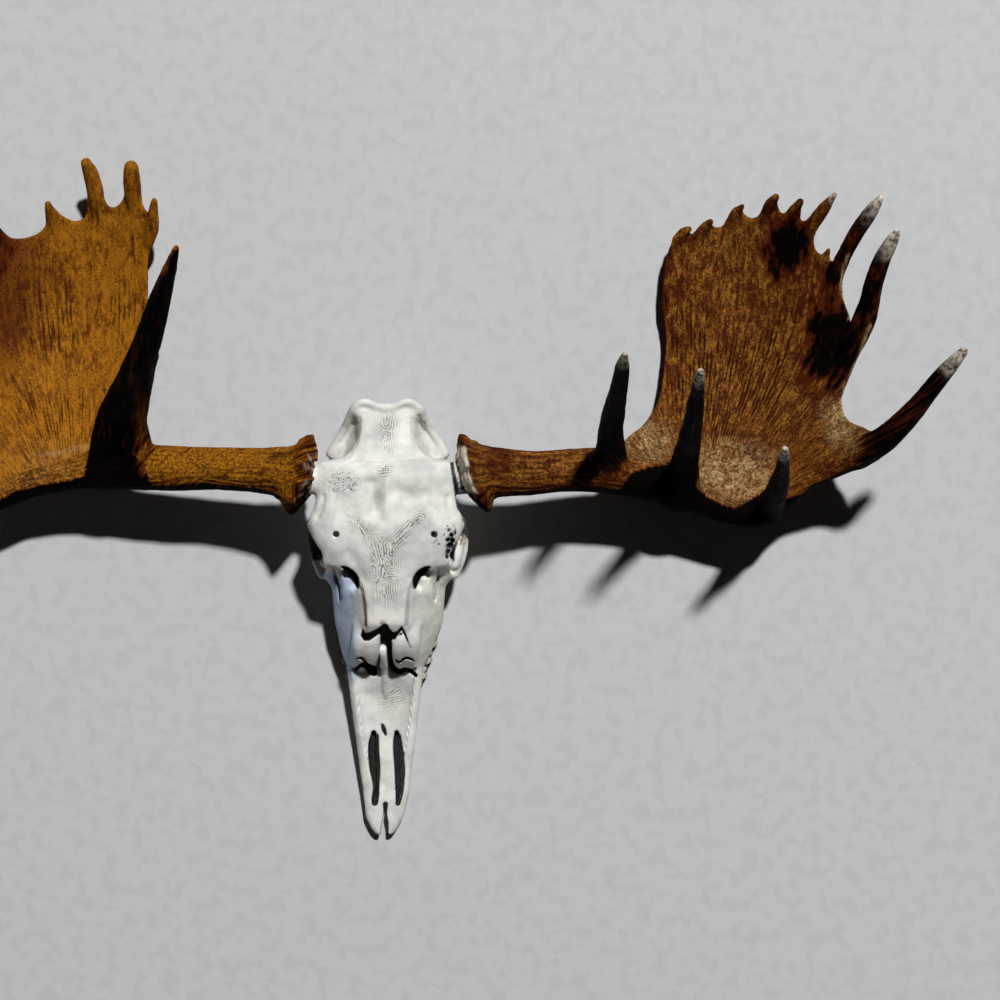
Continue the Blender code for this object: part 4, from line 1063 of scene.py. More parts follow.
def makeTooth(tooth, paint):
    name, sign, cx, cy, halfWidth, halfLength, crown = tooth
    low = (sign * cx - halfWidth - 4, cy - halfLength - 4, -3)
    high = (sign * cx + halfWidth + 4, cy + halfLength + 4, cheekTeeth["rootTop"] + 3)
    block = ClayBlock(low, high, detail["toothStep"])
    cuts, x, y, z = block.window(low, high)
    block.field[cuts] = toothDistance(tooth, x, y, z)
    for end in (-1, 1):  # the crescent hollow in the grinding face of each column
        middle = cy + end * halfLength * 0.48
        reach = halfLength * 0.34
        crescent = [
            (sign * (cx - halfWidth * 0.18 + 2.2 * math.cos(a)), middle + reach * math.sin(a), 0.2, 1.1)
            for a in np.linspace(-1.2, 1.2, 6)
        ]
        addLimb(block, crescent, 0.8, carve=True)
    points, quads = withoutCrumbs(*skinOf(block))
    points = polish(block, points, quads, 1)
    normals = unitSlope(block, points)
    sideways = 1 - np.abs(normals[:, 2])
    ridges = noiseAt(points, (2.2, 2.2, 14), 60) * 0.28 + 0.12 * noiseAt(points, 1.3, 61)
    points = points + normals * (sideways * ridges)[:, None]
    points[:, 2] = np.maximum(points[:, 2], 0)
    obj = meshFrom(name + "_tooth", skewed(points), quads)
    obj.data.shade_smooth()
    points = pointsOf(obj)
    setValue(obj, "grinding", 1 - easeBetween(0.4, 2.2, points[:, 2]))
    setValue(obj, "gum", easeBetween(crown - 6, crown + 1, points[:, 2]))
    obj.data.materials.append(paint)
    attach(obj, "root")
    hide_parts(name)


toothLook = {
    "enamel": (0.34, 0.31, 0.25),
    "stain": (0.10, 0.055, 0.02),
    "dentine": (0.34, 0.21, 0.09),
    "root": (0.38, 0.35, 0.28),
    "roughness": 0.32,
}


def toothMaterial():
    paint = Paint("tooth")
    place = paint.place()
    streaks = paint.noise(paint.stretched(place, (1, 1, 0.2)), 700, 3)
    colour = paint.blend(paint.span(streaks, 0.42, 0.66), toothLook["enamel"], toothLook["stain"])
    colour = paint.blend(paint.value("gum"), colour, toothLook["root"])
    rings = paint.span(paint.noise(place, 420, 1), 0.46, 0.54)
    worn = paint.blend(rings, toothLook["dentine"], toothLook["enamel"])
    colour = paint.blend(paint.value("grinding"), colour, worn)
    normal = paint.bump(streaks, 0.3, 0.0004)
    rough = paint.span(streaks, 0.3, 0.7, toothLook["roughness"], toothLook["roughness"] + 0.2)
    return paint.finish(colour, rough, normal)


# The antlers

rightAntler = {
    "name": "rightAntler",
    "side": 1,
    "box": ((84, -58, -4), (732, 415, 520)),
    "nodes": ["right_beam", "right_brow_tine_inner", "right_brow_tine_outer", "right_palm",
              "right_front_tine", "right_lower_tine", "right_middle_tine", "right_upper_tine"],
    "burr": {"centre": (98, 33, 146), "axis": (0.98, 0.13, -0.09), "radius": 52, "beads": 15,
             "cream": -0.6, "creamFrom": 6, "creamTo": 72},  # the cream beads and where they start and end
    # (x, y, z, radius) along the middle of each limb
    "limbs": {
        "beam": [(108, 34, 146, 31), (122, 35, 145, 32.5), (136, 36, 143, 33), (160, 35, 139, 31),
                 (190, 35, 134, 29), (225, 38, 129, 28), (262, 39, 123, 29), (300, 36, 116, 30),
                 (345, 26, 110, 28), (384, 14, 106, 26)],
        "rim": [(384, 14, 106, 26), (415, 0, 101, 20), (450, -15, 99, 17), (480, -19, 103, 17),
                (503, -10, 111, 18), (545, 24, 118, 13), (590, 46, 128, 15), (628, 70, 142, 20)],
        "brow_tine_inner": [(292, 40, 122, 25), (290, 73, 177, 18), (288, 96, 239, 15.5),
                            (290, 130, 352, 11.5), (290, 155, 449, 8), (290, 166, 500, 3.5)],
        "brow_tine_outer": [(384, 14, 106, 26), (386, 40, 146, 20), (386, 59, 195, 16.5),
                            (384, 93, 306, 12.5), (380, 118, 397, 9.5), (377, 138, 470, 6.5),
                            (376, 146, 500, 3.5)],
        "front_tine": [(503, -10, 111, 18), (500, 12, 199, 14), (497, 33, 275, 10),
                       (491, 51, 343, 6.5), (487, 61, 385, 3.5)],
        "lower_tine": [(616, 60, 137, 18), (638, 76, 177, 17.5), (655, 96, 217, 15), (671, 119, 249, 13),
                       (686, 142, 274, 11.5), (700, 164, 300, 9.5), (713, 181, 320, 5.5)],
        "middle_tine": [(594, 140, 68, 10), (609, 190, 82, 13), (623, 227, 101, 16), (631, 257, 124, 13.5),
                        (634, 283, 142, 12.5), (640, 309, 166, 11), (648, 329, 187, 8.5),
                        (653, 340, 200, 4.5)],
        "upper_tine": [(590, 262, 66, 6), (596, 303, 82, 10), (605, 331, 108, 10), (616, 354, 134, 10),
                       (628, 374, 158, 9), (637, 388, 175, 4.5)],
    },
    # (x, y, height over the palm, radius)
    "points": {
        "point_1": [(386, 350, 0, 6), (394, 359, 4, 6), (401, 363, 10, 4)],
        "point_2": [(416, 358, 0, 6), (424, 367, 4, 6.5), (430, 373, 11, 4)],
        "point_3": [(458, 372, 0, 6), (464, 384, 4, 7), (471, 392, 12, 4)],
        "point_4": [(504, 378, 0, 6), (508, 392, 5, 8), (514, 402, 16, 4.5)],
        "point_5": [(530, 372, 0, 6), (539, 385, 5, 7.5), (545, 394, 16, 4.5)],
        "point_6": [(555, 355, 0, 6), (568, 375, 4, 8), (578, 389, 9, 6.5), (586, 399, 14, 3.8)],
        "small_point": [(579, 316, 0, 6), (582, 326, 2, 4.5), (584, 332, 5, 3)],
    },
    "palm": [(296, 60), (318, 84), (336, 98), (352, 118), (363, 142), (369, 180), (372, 212), (370, 240),
             (367, 262), (368, 300), (373, 330), (380, 348), (387, 358), (396, 364), (402, 364),
             (405, 358), (413, 361), (422, 370), (430, 374), (437, 368), (447, 369), (456, 379),
             (463, 390), (471, 393), (475, 385), (484, 379), (494, 381), (500, 390), (506, 401),
             (515, 403), (519, 393), (524, 384), (531, 384), (538, 393), (545, 394), (548, 385),
             (549, 374), (556, 372), (565, 381), (576, 393), (586, 399), (585, 389), (577, 372),
             (569, 356), (567, 343), (571, 332), (579, 326), (584, 331), (586, 322), (593, 311),
             (600, 288), (606, 262), (612, 235),
             (608, 190), (602, 150), (602, 122), (610, 103), (628, 93), (640, 66), (612, 47), (580, 32),
             (545, 12), (503, -14), (478, -22), (450, -18), (415, -4), (384, 8), (340, 20), (300, 34)],
    "bowl": {"low": (450, 230), "outer": (75, 160), "inner": (24, 85), "front": (95, 255),
             "back": (35, 150)},
    "fan": {"x": 396, "low": 10, "high": 285, "pinch": 0.74},
    "lip": [(286, -20), (300, 8), (318, 34), (340, 42), (366, 46), (382, 58), (392, 48), (402, 18),
            (420, 3), (440, -7), (455, -11), (470, -5), (486, 4), (500, 14), (512, 4), (525, 2),
            (560, 14), (640, 44)],
    "clusters": [(405, 200, 42, 85, 1.0), (468, 150, 75, 85, 1.0), (530, 215, 42, 55, 0.8),
                 (520, 330, 60, 60, 0.5)],
    "paleLines": [[(602, 107), (600, 126), (606, 150), (616, 171), (625, 198), (630, 217), (634, 228)],
                  [(611, 241), (608, 259), (602, 287), (600, 302), (605, 320)]],
    "pale": {"brow_tine_inner": 1, "brow_tine_outer": 1, "front_tine": 1, "lower_tine": 1,
             "middle_tine": 1, "upper_tine": 1, "point_6": 0.9},
    "brownTips": {},
    "sheen": [(299, 41), (299, 40)],
    "blackened": {"brow_tine_inner": 1, "brow_tine_outer": 1, "front_tine": 0.95, "lower_tine": 0.8,
                  "middle_tine": 0.8, "upper_tine": 0.7, "point_5": 0.2, "point_4": 0.2},
    "gold": 0.0,
    "seed": 5,
}

leftAntler = {
    "name": "leftAntler",
    "side": -1,
    "box": ((-732, -44, -4), (-84, 465, 520)),
    "nodes": ["left_beam", "left_brow_tine", "left_palm", "left_front_tine", "left_lower_tine",
              "left_middle_tine", "left_upper_tine"],
    "burr": {"centre": (-94, 33, 146), "axis": (-0.99, 0.02, -0.09), "radius": 52, "beads": 14,
             "cream": -5.5, "creamFrom": -8, "creamTo": 66},
    "limbs": {
        "beam": [(-108, 34, 146, 31), (-122, 35, 145, 32.5), (-136, 37, 143, 32.5), (-160, 38, 139, 30),
                 (-190, 40, 134, 28.5), (-225, 41, 129, 28), (-262, 41, 124, 29), (-305, 42, 119, 30),
                 (-345, 43, 114, 29), (-372, 42, 110, 27)],
        "rim": [(-372, 42, 110, 27), (-420, 33, 104, 21), (-470, 21, 101, 18), (-515, 3, 104, 18),
                (-548, -4, 111, 18), (-588, 34, 122, 13), (-625, 74, 140, 20)],
        "brow_tine": [(-372, 52, 114, 20), (-356, 97, 175, 17), (-336, 124, 218, 16.5),
                      (-312, 150, 261, 18), (-285, 183, 321, 17.5),
                      (-264, 216, 378, 15), (-245, 246, 433, 11.5),
                      (-230, 270, 472, 7.5), (-220, 286, 500, 3.5)],
        "brow_blade": [(-326, 48, 120, 24), (-323, 97, 172, 18), (-313, 124, 215, 17),
                       (-298, 150, 259, 14.5), (-283, 177, 307, 11.5)],
        "front_tine": [(-548, -4, 111, 18), (-541, 20, 191, 14), (-530, 40, 274, 10),
                       (-517, 58, 350, 6.5), (-511, 67, 385, 3.5)],
        "lower_tine": [(-618, 70, 137, 19), (-651, 87, 175, 17.5), (-673, 113, 221, 13.5),
                       (-692, 144, 268, 11), (-708, 170, 303, 8.5), (-715, 181, 320, 5)],
        "middle_tine": [(-594, 150, 70, 10), (-606, 200, 84, 14), (-621, 239, 113, 15),
                        (-637, 270, 145, 13), (-648, 298, 174, 10.5), (-654, 318, 195, 4.5)],
        "upper_tine": [(-556, 276, 58, 10), (-572, 312, 78, 13), (-588, 344, 109, 11.5),
                       (-603, 371, 137, 10), (-616, 392, 160, 7.5), (-621, 401, 170, 4)],
    },
    "points": {
        "point_1": [(-324, 346, 0, 6), (-318, 366, 3, 8), (-313, 385, 7, 6), (-310, 396, 9, 3.8)],
        "point_2": [(-343, 385, 0, 6), (-342, 410, 4, 10), (-341, 428, 8, 10.5), (-339, 439, 11, 9.5)],
        "point_3": [(-396, 385, 0, 6), (-395, 412, 5, 9.5), (-398, 434, 10, 8.5), (-400, 446, 14, 7.5)],
        "point_4": [(-453, 366, 0, 6), (-456, 384, 5, 7), (-457, 396, 12, 4.2)],
        "point_5": [(-518, 340, 0, 6), (-526, 358, 6, 8), (-533, 373, 14, 4.2)],
        "point_6": [(-556, 322, 0, 6), (-566, 338, 5, 7), (-574, 352, 12, 4)],
    },
    "palm": [(-350, 60), (-350, 130), (-338, 190), (-327, 262), (-326, 300), (-324, 328), (-315, 345),
             (-307, 362), (-307, 380), (-311, 393), (-319, 384), (-328, 394), (-330, 420), (-333, 442),
             (-343, 446), (-350, 430), (-353, 408), (-362, 396), (-373, 393), (-381, 402), (-384, 425),
             (-390, 444), (-401, 449), (-405, 432), (-406, 396), (-412, 381), (-426, 377), (-440, 382),
             (-450, 392), (-457, 396), (-462, 384), (-466, 368), (-482, 356), (-506, 352), (-518, 360),
             (-531, 372), (-536, 362), (-540, 346), (-552, 340), (-572, 350), (-578, 334), (-586, 300),
             (-594, 262), (-604, 232), (-607, 190), (-604, 155), (-604, 124), (-610, 106), (-626, 96),
             (-636, 66), (-610, 44), (-580, 20), (-548, -10), (-515, -4), (-470, 12), (-420, 26),
             (-372, 34)],
    "bowl": {"low": (435, 240), "outer": (75, 160), "inner": (24, 105), "front": (92, 240),
             "back": (33, 150)},
    "fan": {"x": 402, "low": 20, "high": 290, "pinch": 0.66},
    "lip": [(286, -20), (302, 6), (314, 50), (340, 70), (372, 74), (386, 66), (394, 30), (420, 24),
            (450, 20), (490, 10), (515, -6), (548, -12), (580, 8), (640, 42)],
    "clusters": [(458, 257, 60, 78, 1.0), (357, 258, 30, 62, 0.9), (455, 112, 70, 60, 0.7)],
    "paleLines": [[(396, 72), (408, 70), (425, 67), (445, 62), (470, 62)]],
    "pale": {"front_tine": 1, "lower_tine": 1, "middle_tine": 1, "upper_tine": 1},
    "brownTips": {"brow_tine": 0.75},
    "sheen": [(317, 36), (312, 70), (304, 120), (300, 150)],
    "blackened": {"brow_tine": 1, "brow_blade": 1, "front_tine": 0.9, "lower_tine": 0.8, "middle_tine": 0.8,
                  "upper_tine": 0.7},
    "gold": 1.0,
    "seed": 11,
}

antlerForm = {
    "girth": 22,
    "palmHalf": 7.5,
    "edgeHalf": 4.2,
    "rimWidth": 40,
    "worn": 1.5,
    "frontPower": 2.2,
    "limbBlend": 9,
    "palmBlend": 11,
    "groovePitch": 6.6,
    "grooveDepth": 0.95,
    "beamPitch": 6.2,
    "beamDepth": 1.1,
    "burrNeck": 32,  # radius where the burr joins the beam
    "burrDish": 0.0028,  # how hollow the burr's face is
    "burrBend": 22,  # how far the burr's front edge bends away from the skull
}


def bowlHeight(antler, x, y):
    # height of the middle of the palm's thickness
    bowl = antler["bowl"]
    dx = x * antler["side"] - bowl["low"][0]
    dy = y - bowl["low"][1]
    across = np.where(dx > 0, bowl["outer"][0] * (dx / bowl["outer"][1]) ** 2,
                      bowl["inner"][0] * (dx / bowl["inner"][1]) ** 2)
    along = np.where(dy > 0, bowl["back"][0] * (dy / bowl["back"][1]) ** 2,
                     bowl["front"][0] * (np.abs(dy) / bowl["front"][1]) ** antlerForm["frontPower"])
    return antlerForm["palmHalf"] - antlerForm["worn"] + across + along


def limbsOf(antler):
    # all limbs, with the points on the palm's edge lifted to the palm's height
    found = dict(antler["limbs"])
    for name, rows in antler["points"].items():
        found[name] = [(x, y, float(bowlHeight(antler, x, y)) + lift, r) for x, y, lift, r in rows]
    return found


def addPalm(block, antler):
    ring = throughPoints(antler["palm"], 4, closed=True)
    low = (ring[:, 0].min() - 14, ring[:, 1].min() - 14, -6)
    high = (ring[:, 0].max() + 14, ring[:, 1].max() + 14, 230)
    cuts, x, y, z = block.window(low, high)
    gx, gy = np.meshgrid(x.ravel(), y.ravel(), indexing="ij")
    edge = np.concatenate([
        outlineDistance(ring, gx[i : i + 40].ravel(), gy[i : i + 40].ravel()) for i in range(0, len(gx), 40)
    ]).reshape(gx.shape)
    height = bowlHeight(antler, gx, gy)
    steep = np.sqrt(1 + sum(g**2 for g in np.gradient(height, block.step)))
    share = easeBetween(0, antlerForm["rimWidth"], -edge)
    half = antlerForm["edgeHalf"] + (antlerForm["palmHalf"] - antlerForm["edgeHalf"]) * share
    rounding = antlerForm["edgeHalf"]
    over = np.abs(z - height[:, :, None]) / steep[:, :, None] - half[:, :, None] + rounding
    out = np.broadcast_to((edge + rounding)[:, :, None], over.shape)
    distance = np.hypot(np.maximum(over, 0), np.maximum(out, 0)) + np.minimum(np.maximum(over, out), 0)
    block.add(cuts, (distance - rounding).astype(np.float32), antlerForm["palmBlend"])


def burrSpot(burr, x, y, z):
    # how far a place is from the burr's middle: along its axis, away from it, and round it
    axis = np.array(burr["axis"]) / np.linalg.norm(burr["axis"])
    across = np.cross(axis, (0, 0, 1))
    across /= np.linalg.norm(across)
    up = np.cross(across, axis)
    dx, dy, dz = (v - c for v, c in zip((x, y, z), burr["centre"]))
    along, right, top = (dx * d[0] + dy * d[1] + dz * d[2] for d in (axis, across, up))
    along = along - antlerForm["burrBend"] * np.clip(-(dy + 4) / 45, 0, 1.2) ** 1.4
    return along, np.hypot(right, top), np.arctan2(right, top)


def addBurr(block, burr, seed):
    # a tilted collar that flares from the beam to its beaded edge
    reach = burr["radius"] + 16
    centre = np.array(burr["centre"])
    cuts, x, y, z = block.window(centre - reach, centre + reach)
    along, away, angle = burrSpot(burr, x, y, z)
    lumps = np.sin(burr["beads"] * angle + 1.2 * np.sin(2 * angle + seed))
    lumps = lumps + 0.6 * np.sin(5 * angle + seed)
    flare = 1 - easeBetween(3, 40, along)
    neck = antlerForm["burrNeck"]
    edge = neck + (burr["radius"] - neck) * flare + 2.0 * lumps * flare
    face = -along - 4 + antlerForm["burrDish"] * away**2 - 0.9 * lumps
    collar = softMax(softMax((away - edge) * 0.8, face, 3), along - 40, 6)
    block.add(cuts, collar, 5)
    block.field[cuts] = softMax(block.field[cuts], face, 2)


def alongLimb(points, path, antler):
    # how near each point is to one limb, how far along it and how far round it
    gap = np.full(len(points), 1e9)
    along, around = np.zeros(len(points)), np.zeros(len(points))
    lengths = np.concatenate([[0], np.cumsum(np.linalg.norm(np.diff(path[:, :3], axis=0), axis=1))])
    for i, (a, b) in enumerate(zip(path, path[1:])):
        run = (b - a)[:3]
        length = np.linalg.norm(run)
        away = points - a[:3]
        t = np.clip(away @ run / length**2, 0, 1)
        offset = away - t[:, None] * run
        distance = np.linalg.norm(offset, axis=1) - a[3] - (b[3] - a[3]) * t
        nearer = distance < gap
        across = np.cross(run / length, (0.5 * antler["side"], -1.0, 0.3))
        across /= np.linalg.norm(across)
        top = np.cross(across, run / length)
        angle = np.arctan2(offset @ across, offset @ top)
        gap = np.where(nearer, distance, gap)
        along = np.where(nearer, lengths[i] + t * length, along)
        around = np.where(nearer, angle * antlerForm["girth"], around)
    return gap, along, around, lengths[-1] - along


def limbFlow(points, antler):
    # for each point: its limb's grain (round, along), how near the limb is and how near its tip,
    # how pale and how dark the limb is there, and whether it is one of the short points
    best = np.full(len(points), 1e9)
    flow = np.zeros((len(points), 3))
    toTip, pale, dark = np.full(len(points), 1e9), np.zeros(len(points)), np.zeros(len(points))
    onPoint = np.zeros(len(points))
    wobble = 10 * noiseAt(points, 14, antler["seed"] + 50)
    for number, (name, rows) in enumerate(limbsOf(antler).items()):
        gap, along, around, rest = alongLimb(points, throughPoints(rows, 4), antler)
        if name not in ("beam", "rim"):
            toTip = np.where(gap < 4, np.minimum(toTip, rest), toTip)
        fade = 50 if "tine" in name else 16
        tip = antler["pale"].get(name, 0.0) * (1 - easeBetween(4, fade, rest + wobble))
        pale = np.where(gap < 4, np.maximum(pale, tip), pale)
        foot = rows[0][3] * 0.6
        # the blackened tines are partly their own dark colour and partly painted shade
        shade = antler["blackened"].get(name, 0) * easeBetween(foot, foot + 34, along)
        shade = shade * (1 - antler["brownTips"].get(name, 0) * (1 - easeBetween(20, 80, rest)))
        nearer = gap < best
        best = np.where(nearer, gap, best)
        onPoint = np.where(nearer, float("point" in name), onPoint)
        dark = np.where(nearer, shade * (1 - easeBetween(3, 12, gap)), dark)
        grain = np.column_stack([around, along, np.full(len(points), number * 41.0)])
        flow = np.where(nearer[:, None], grain, flow)
    return {"flow": flow, "gap": best, "toTip": toTip, "pale": pale, "dark": dark, "point": onPoint}


def palmFlow(points, antler):
    # the grain of the palm fans out from its foot and turns straight towards its back edge
    fan = antler["fan"]
    t = np.clip((points[:, 1] - fan["low"]) / (fan["high"] - fan["low"]), 0, 1)
    pinch = 1 - fan["pinch"] * (1 - t) ** 1.6
    across = (points[:, 0] * antler["side"] - fan["x"]) / pinch
    height = bowlHeight(antler, points[:, 0], points[:, 1])
    under = (points[:, 2] < height) * 300.0
    return np.column_stack([across, points[:, 1] * 1.1, under]), under > 0


def palmShare(points, antler, limbGap):
    # 1 on the plate of the palm, 0 on the limbs
    ring = throughPoints(antler["palm"], 3, closed=True)
    edge = np.concatenate([
        outlineDistance(ring, points[i : i + 20000, 0], points[i : i + 20000, 1])
        for i in range(0, len(points), 20000)
    ])
    flat = np.abs(points[:, 2] - bowlHeight(antler, points[:, 0], points[:, 1]))
    onPlate = (1 - easeBetween(11, 17, flat)) * easeBetween(-3, 6, -edge)
    return onPlate * easeBetween(2, 12, limbGap)


def grooves(flow, pitch, seed):
    # ridged lines that run along the grain and fork now and then
    wander = np.column_stack([flow[:, 0] / 16, flow[:, 1] / 75, flow[:, 2]])
    shift = 2.1 * noiseAt(wander, 1, seed) + 0.8 * noiseAt(wander * 2.3, 1, seed + 1)
    wave = np.sin(2 * math.pi * flow[:, 0] / pitch + shift * 2.4)
    broken = easeBetween(-0.35, 0.25, noiseAt(wander * np.array([2.4, 1.6, 1]), 1, seed + 2))
    return (0.5 - 0.5 * wave) ** 2 * (0.35 + 0.65 * broken)


def antlerRelief(points, antler):
    # how far each point is moved outwards, in mm
    seed = antler["seed"]
    limb = limbFlow(points, antler)
    fan, under = palmFlow(points, antler)
    onPalm = palmShare(points, antler, limb["gap"])
    alongGrain = grooves(fan, antlerForm["groovePitch"], seed)
    palmCut = antlerForm["grooveDepth"] * alongGrain * palmGrain(points, antler) * np.where(under, 0.7, 1)
    limbCut = antlerForm["beamDepth"] * grooves(limb["flow"], antlerForm["beamPitch"], seed + 7)
    limbCut = limbCut * easeBetween(30, 90, limb["toTip"])
    move = -(palmCut * onPalm + limbCut * (1 - onPalm) * 0.8)
    move += 0.9 * layeredNoise(points, 34, seed + 20) + 0.22 * noiseAt(points, 6, seed + 25)
    pearls = 1 - easeBetween(14, 34, np.abs(points[:, 0]) - 100)
    return move + pearls * 1.5 * noiseAt(points, 6.5, seed + 30)


def palmGrain(points, antler):
    # how strong the grooves are: full low on the palm, faint near its back edge and its foot
    y = points[:, 1]
    full = easeBetween(20, 80, y) * (1 - 0.55 * easeBetween(200, 330, y)) + 0.12
    flat = np.column_stack([points[:, 0] * antler["side"], y])
    cluster = [share * mound(flat, (cx, cy), (rx, ry)) ** 0.6
               for cx, cy, rx, ry, share in antler["clusters"]]
    return full * np.clip(np.maximum.reduce(cluster) + 0.28 - 0.16 * antler["gold"], 0, 1)


def makeAntler(antler, paint):
    block = ClayBlock(*antler["box"], detail["step"])
    limbs = limbsOf(antler)
    addLimb(block, limbs["beam"], 4)
    addPalm(block, antler)
    for name, limb in limbs.items():
        if name != "beam":
            addLimb(block, limb, 4.5 if "point" in name else antlerForm["limbBlend"])
    addBurr(block, antler["burr"], antler["seed"])
    points, quads = withoutCrumbs(*skinOf(block))
    points = polish(block, points, quads)
    normals = unitSlope(block, points)
    points = points + normals * antlerRelief(points, antler)[:, None]
    points[:, 2] = np.maximum(points[:, 2], 0)
    obj = meshFrom(antler["name"], points, quads)
    thinOut(obj, detail["mostTriangles"])
    setAntlerValues(obj, antler)
    obj.data.materials.append(paint)
    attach(obj, "root")
    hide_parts(*antler["nodes"])
    print(antler["name"], "made:", len(obj.data.polygons), "faces")
    return obj


tanPatches = [  # middle and size, mirrored for the left antler
    ((455, 35), (85, 62)), ((345, 78), (46, 40)), ((600, 110), (34, 60)),
]


def setAntlerValues(obj, antler):
    points, normals = pointsOf(obj), normalsOf(obj)
    gold = antler["gold"]
    limb = limbFlow(points, antler)
    fan, _ = palmFlow(points, antler)
    onPalm = palmShare(points, antler, limb["gap"])
    cut = palmGrain(points, antler) * onPalm + 0.5 * (1 - onPalm) * easeBetween(20, 70, limb["toTip"])
    setValue(obj, "flow", limb["flow"] * detail["metre"])
    setValue(obj, "fan", fan * detail["metre"])
    setValue(obj, "onPalm", np.maximum(onPalm, 0.9 * limb["point"]))
    setValue(obj, "grooved", np.clip(cut, 0, 1))
    setValue(obj, "tip", limb["pale"])
    flat = np.column_stack([points[:, 0] * antler["side"], points[:, 1]])
    tan = sum(mound(flat, middle, size) for middle, size in tanPatches)
    setValue(obj, "tan", np.clip(tan, 0, 1) * (1 - 0.85 * gold))
    wander = 30 * noiseAt(points, 60, antler["seed"] + 60)
    ruddy = easeBetween(430, 520, flat[:, 0] + wander) * easeBetween(120, 240, flat[:, 1])
    setValue(obj, "ruddy", 0.8 * ruddy * gold)
    edge = bell(nearestLine(flat, antler["paleLines"]), 4) * easeBetween(0.1, 0.5, normals[:, 2])
    setValue(obj, "edge", edge * (1 - 0.65 * gold))
    setValue(obj, "dark", darkShare(points, normals, flat, limb, onPalm, antler) * (1 - 0.8 * edge))
    setValue(obj, "rim", creamShare(points, antler["burr"]))


def darkShare(points, normals, flat, limb, onPalm, antler):
    # how black the antler is, partly its own dark colour and partly painted shade: faces turned from the
    # light under the limbs and under the palm are painted shade, the patches on the palm and the front lip
    # are partly painted shade, and the burr's mottling is its own colour
    x, y = flat.T
    gold = antler["gold"]
    slant = normals[:, 1] * 0.75 + normals[:, 2] * 0.35
    lip = np.interp(x, *np.array(antler["lip"], float).T)
    front = (1 - easeBetween(-3, 3, y - lip)) * easeBetween(286, 306, x) * (1 - easeBetween(590, 650, x))
    along, away, _ = burrSpot(antler["burr"], *points.T)
    dark = np.maximum.reduce([
        (1 - easeBetween(-0.5, 0.02, slant)) * (1 - onPalm) * (1 - limb["point"]),
        (1 - easeBetween(-0.4, 0.1, normals[:, 2])) * onPalm * 0.6,
        1.155 * mound(flat, (594, 216), (58, 110)) * (1 - 0.4 * gold),
        1.21 * mound(flat, (534, 338), (46, 60)) * (1 - 0.5 * gold),
        (1 - easeBetween(2, 26, x - 366)) * easeBetween(150, 240, y) * (1 - gold) * 0.45,
        limb["dark"],
        1.3 * front,
        0.5 * (1 - easeBetween(6, 26, np.abs(along))) * (away < 80),
    ])
    # painted highlight: along the sheen line on the left brow tine the black is lifted to red, as a lit
    # strip
    sheen = bell(lineDistance(flat, antler["sheen"]), 8) * gold
    return np.clip(dark, 0, 1.3) * (1 - 0.6 * sheen)


def creamShare(points, burr):
    # the burr's cream beads, on the side towards the skull
    y = points[:, 1]
    along, away, _ = burrSpot(burr, *points.T)
    face = along - antlerForm["burrDish"] * np.minimum(away, 70) ** 2 - burr["cream"]
    share = (1 - easeBetween(-3, 2, face)) * easeBetween(16, 26, away) * (1 - easeBetween(66, 72, away))
    share = share * easeBetween(0, 12, y - burr["creamFrom"]) * (np.abs(along) < 40)
    return share * (1 - easeBetween(-10, 0, y - burr["creamTo"]))


antlerLook = {
    "brown": (0.11, 0.026, 0.005),
    "amber": (0.31, 0.125, 0.018),
    "gold": (0.39, 0.150, 0.009),
    "tan": (0.50, 0.34, 0.155),
    "dark": (0.0022, 0.0010, 0.0008),
    "red": (0.07, 0.010, 0.003),
    "cream": (0.74, 0.66, 0.53),
    "roughness": 0.62,
    "specular": 0.02,
    "palmPitch": 0.0068,  # between two painted lines, in metres
    "beamPitch": 0.0060,
}


def grainOf(paint, vector, pitch):
    # lines, streaks and short dashes that follow the grain held in the vector
    sway = paint.noise(paint.stretched(vector, (1, 0.16, 1)), 75, 2)
    turns = paint.times(paint.axis(vector, 0), 2 * math.pi / pitch)
    shift = paint.sum("ADD", turns, paint.times(sway, 7.0))
    wave = paint.sum("SINE", shift, 0.0)
    worn = paint.span(paint.noise(paint.stretched(vector, (1, 0.3, 1)), 75, 3), 0.40, 0.58)
    return {
        "groove": paint.times(paint.span(wave, 0.15, 0.85), worn),
        "streak": paint.noise(paint.stretched(vector, (1, 0.32, 1)), 170, 4, 0.68),
        "dash": paint.noise(paint.stretched(vector, (1, 0.42, 1)), 620, 3, 0.65),
    }


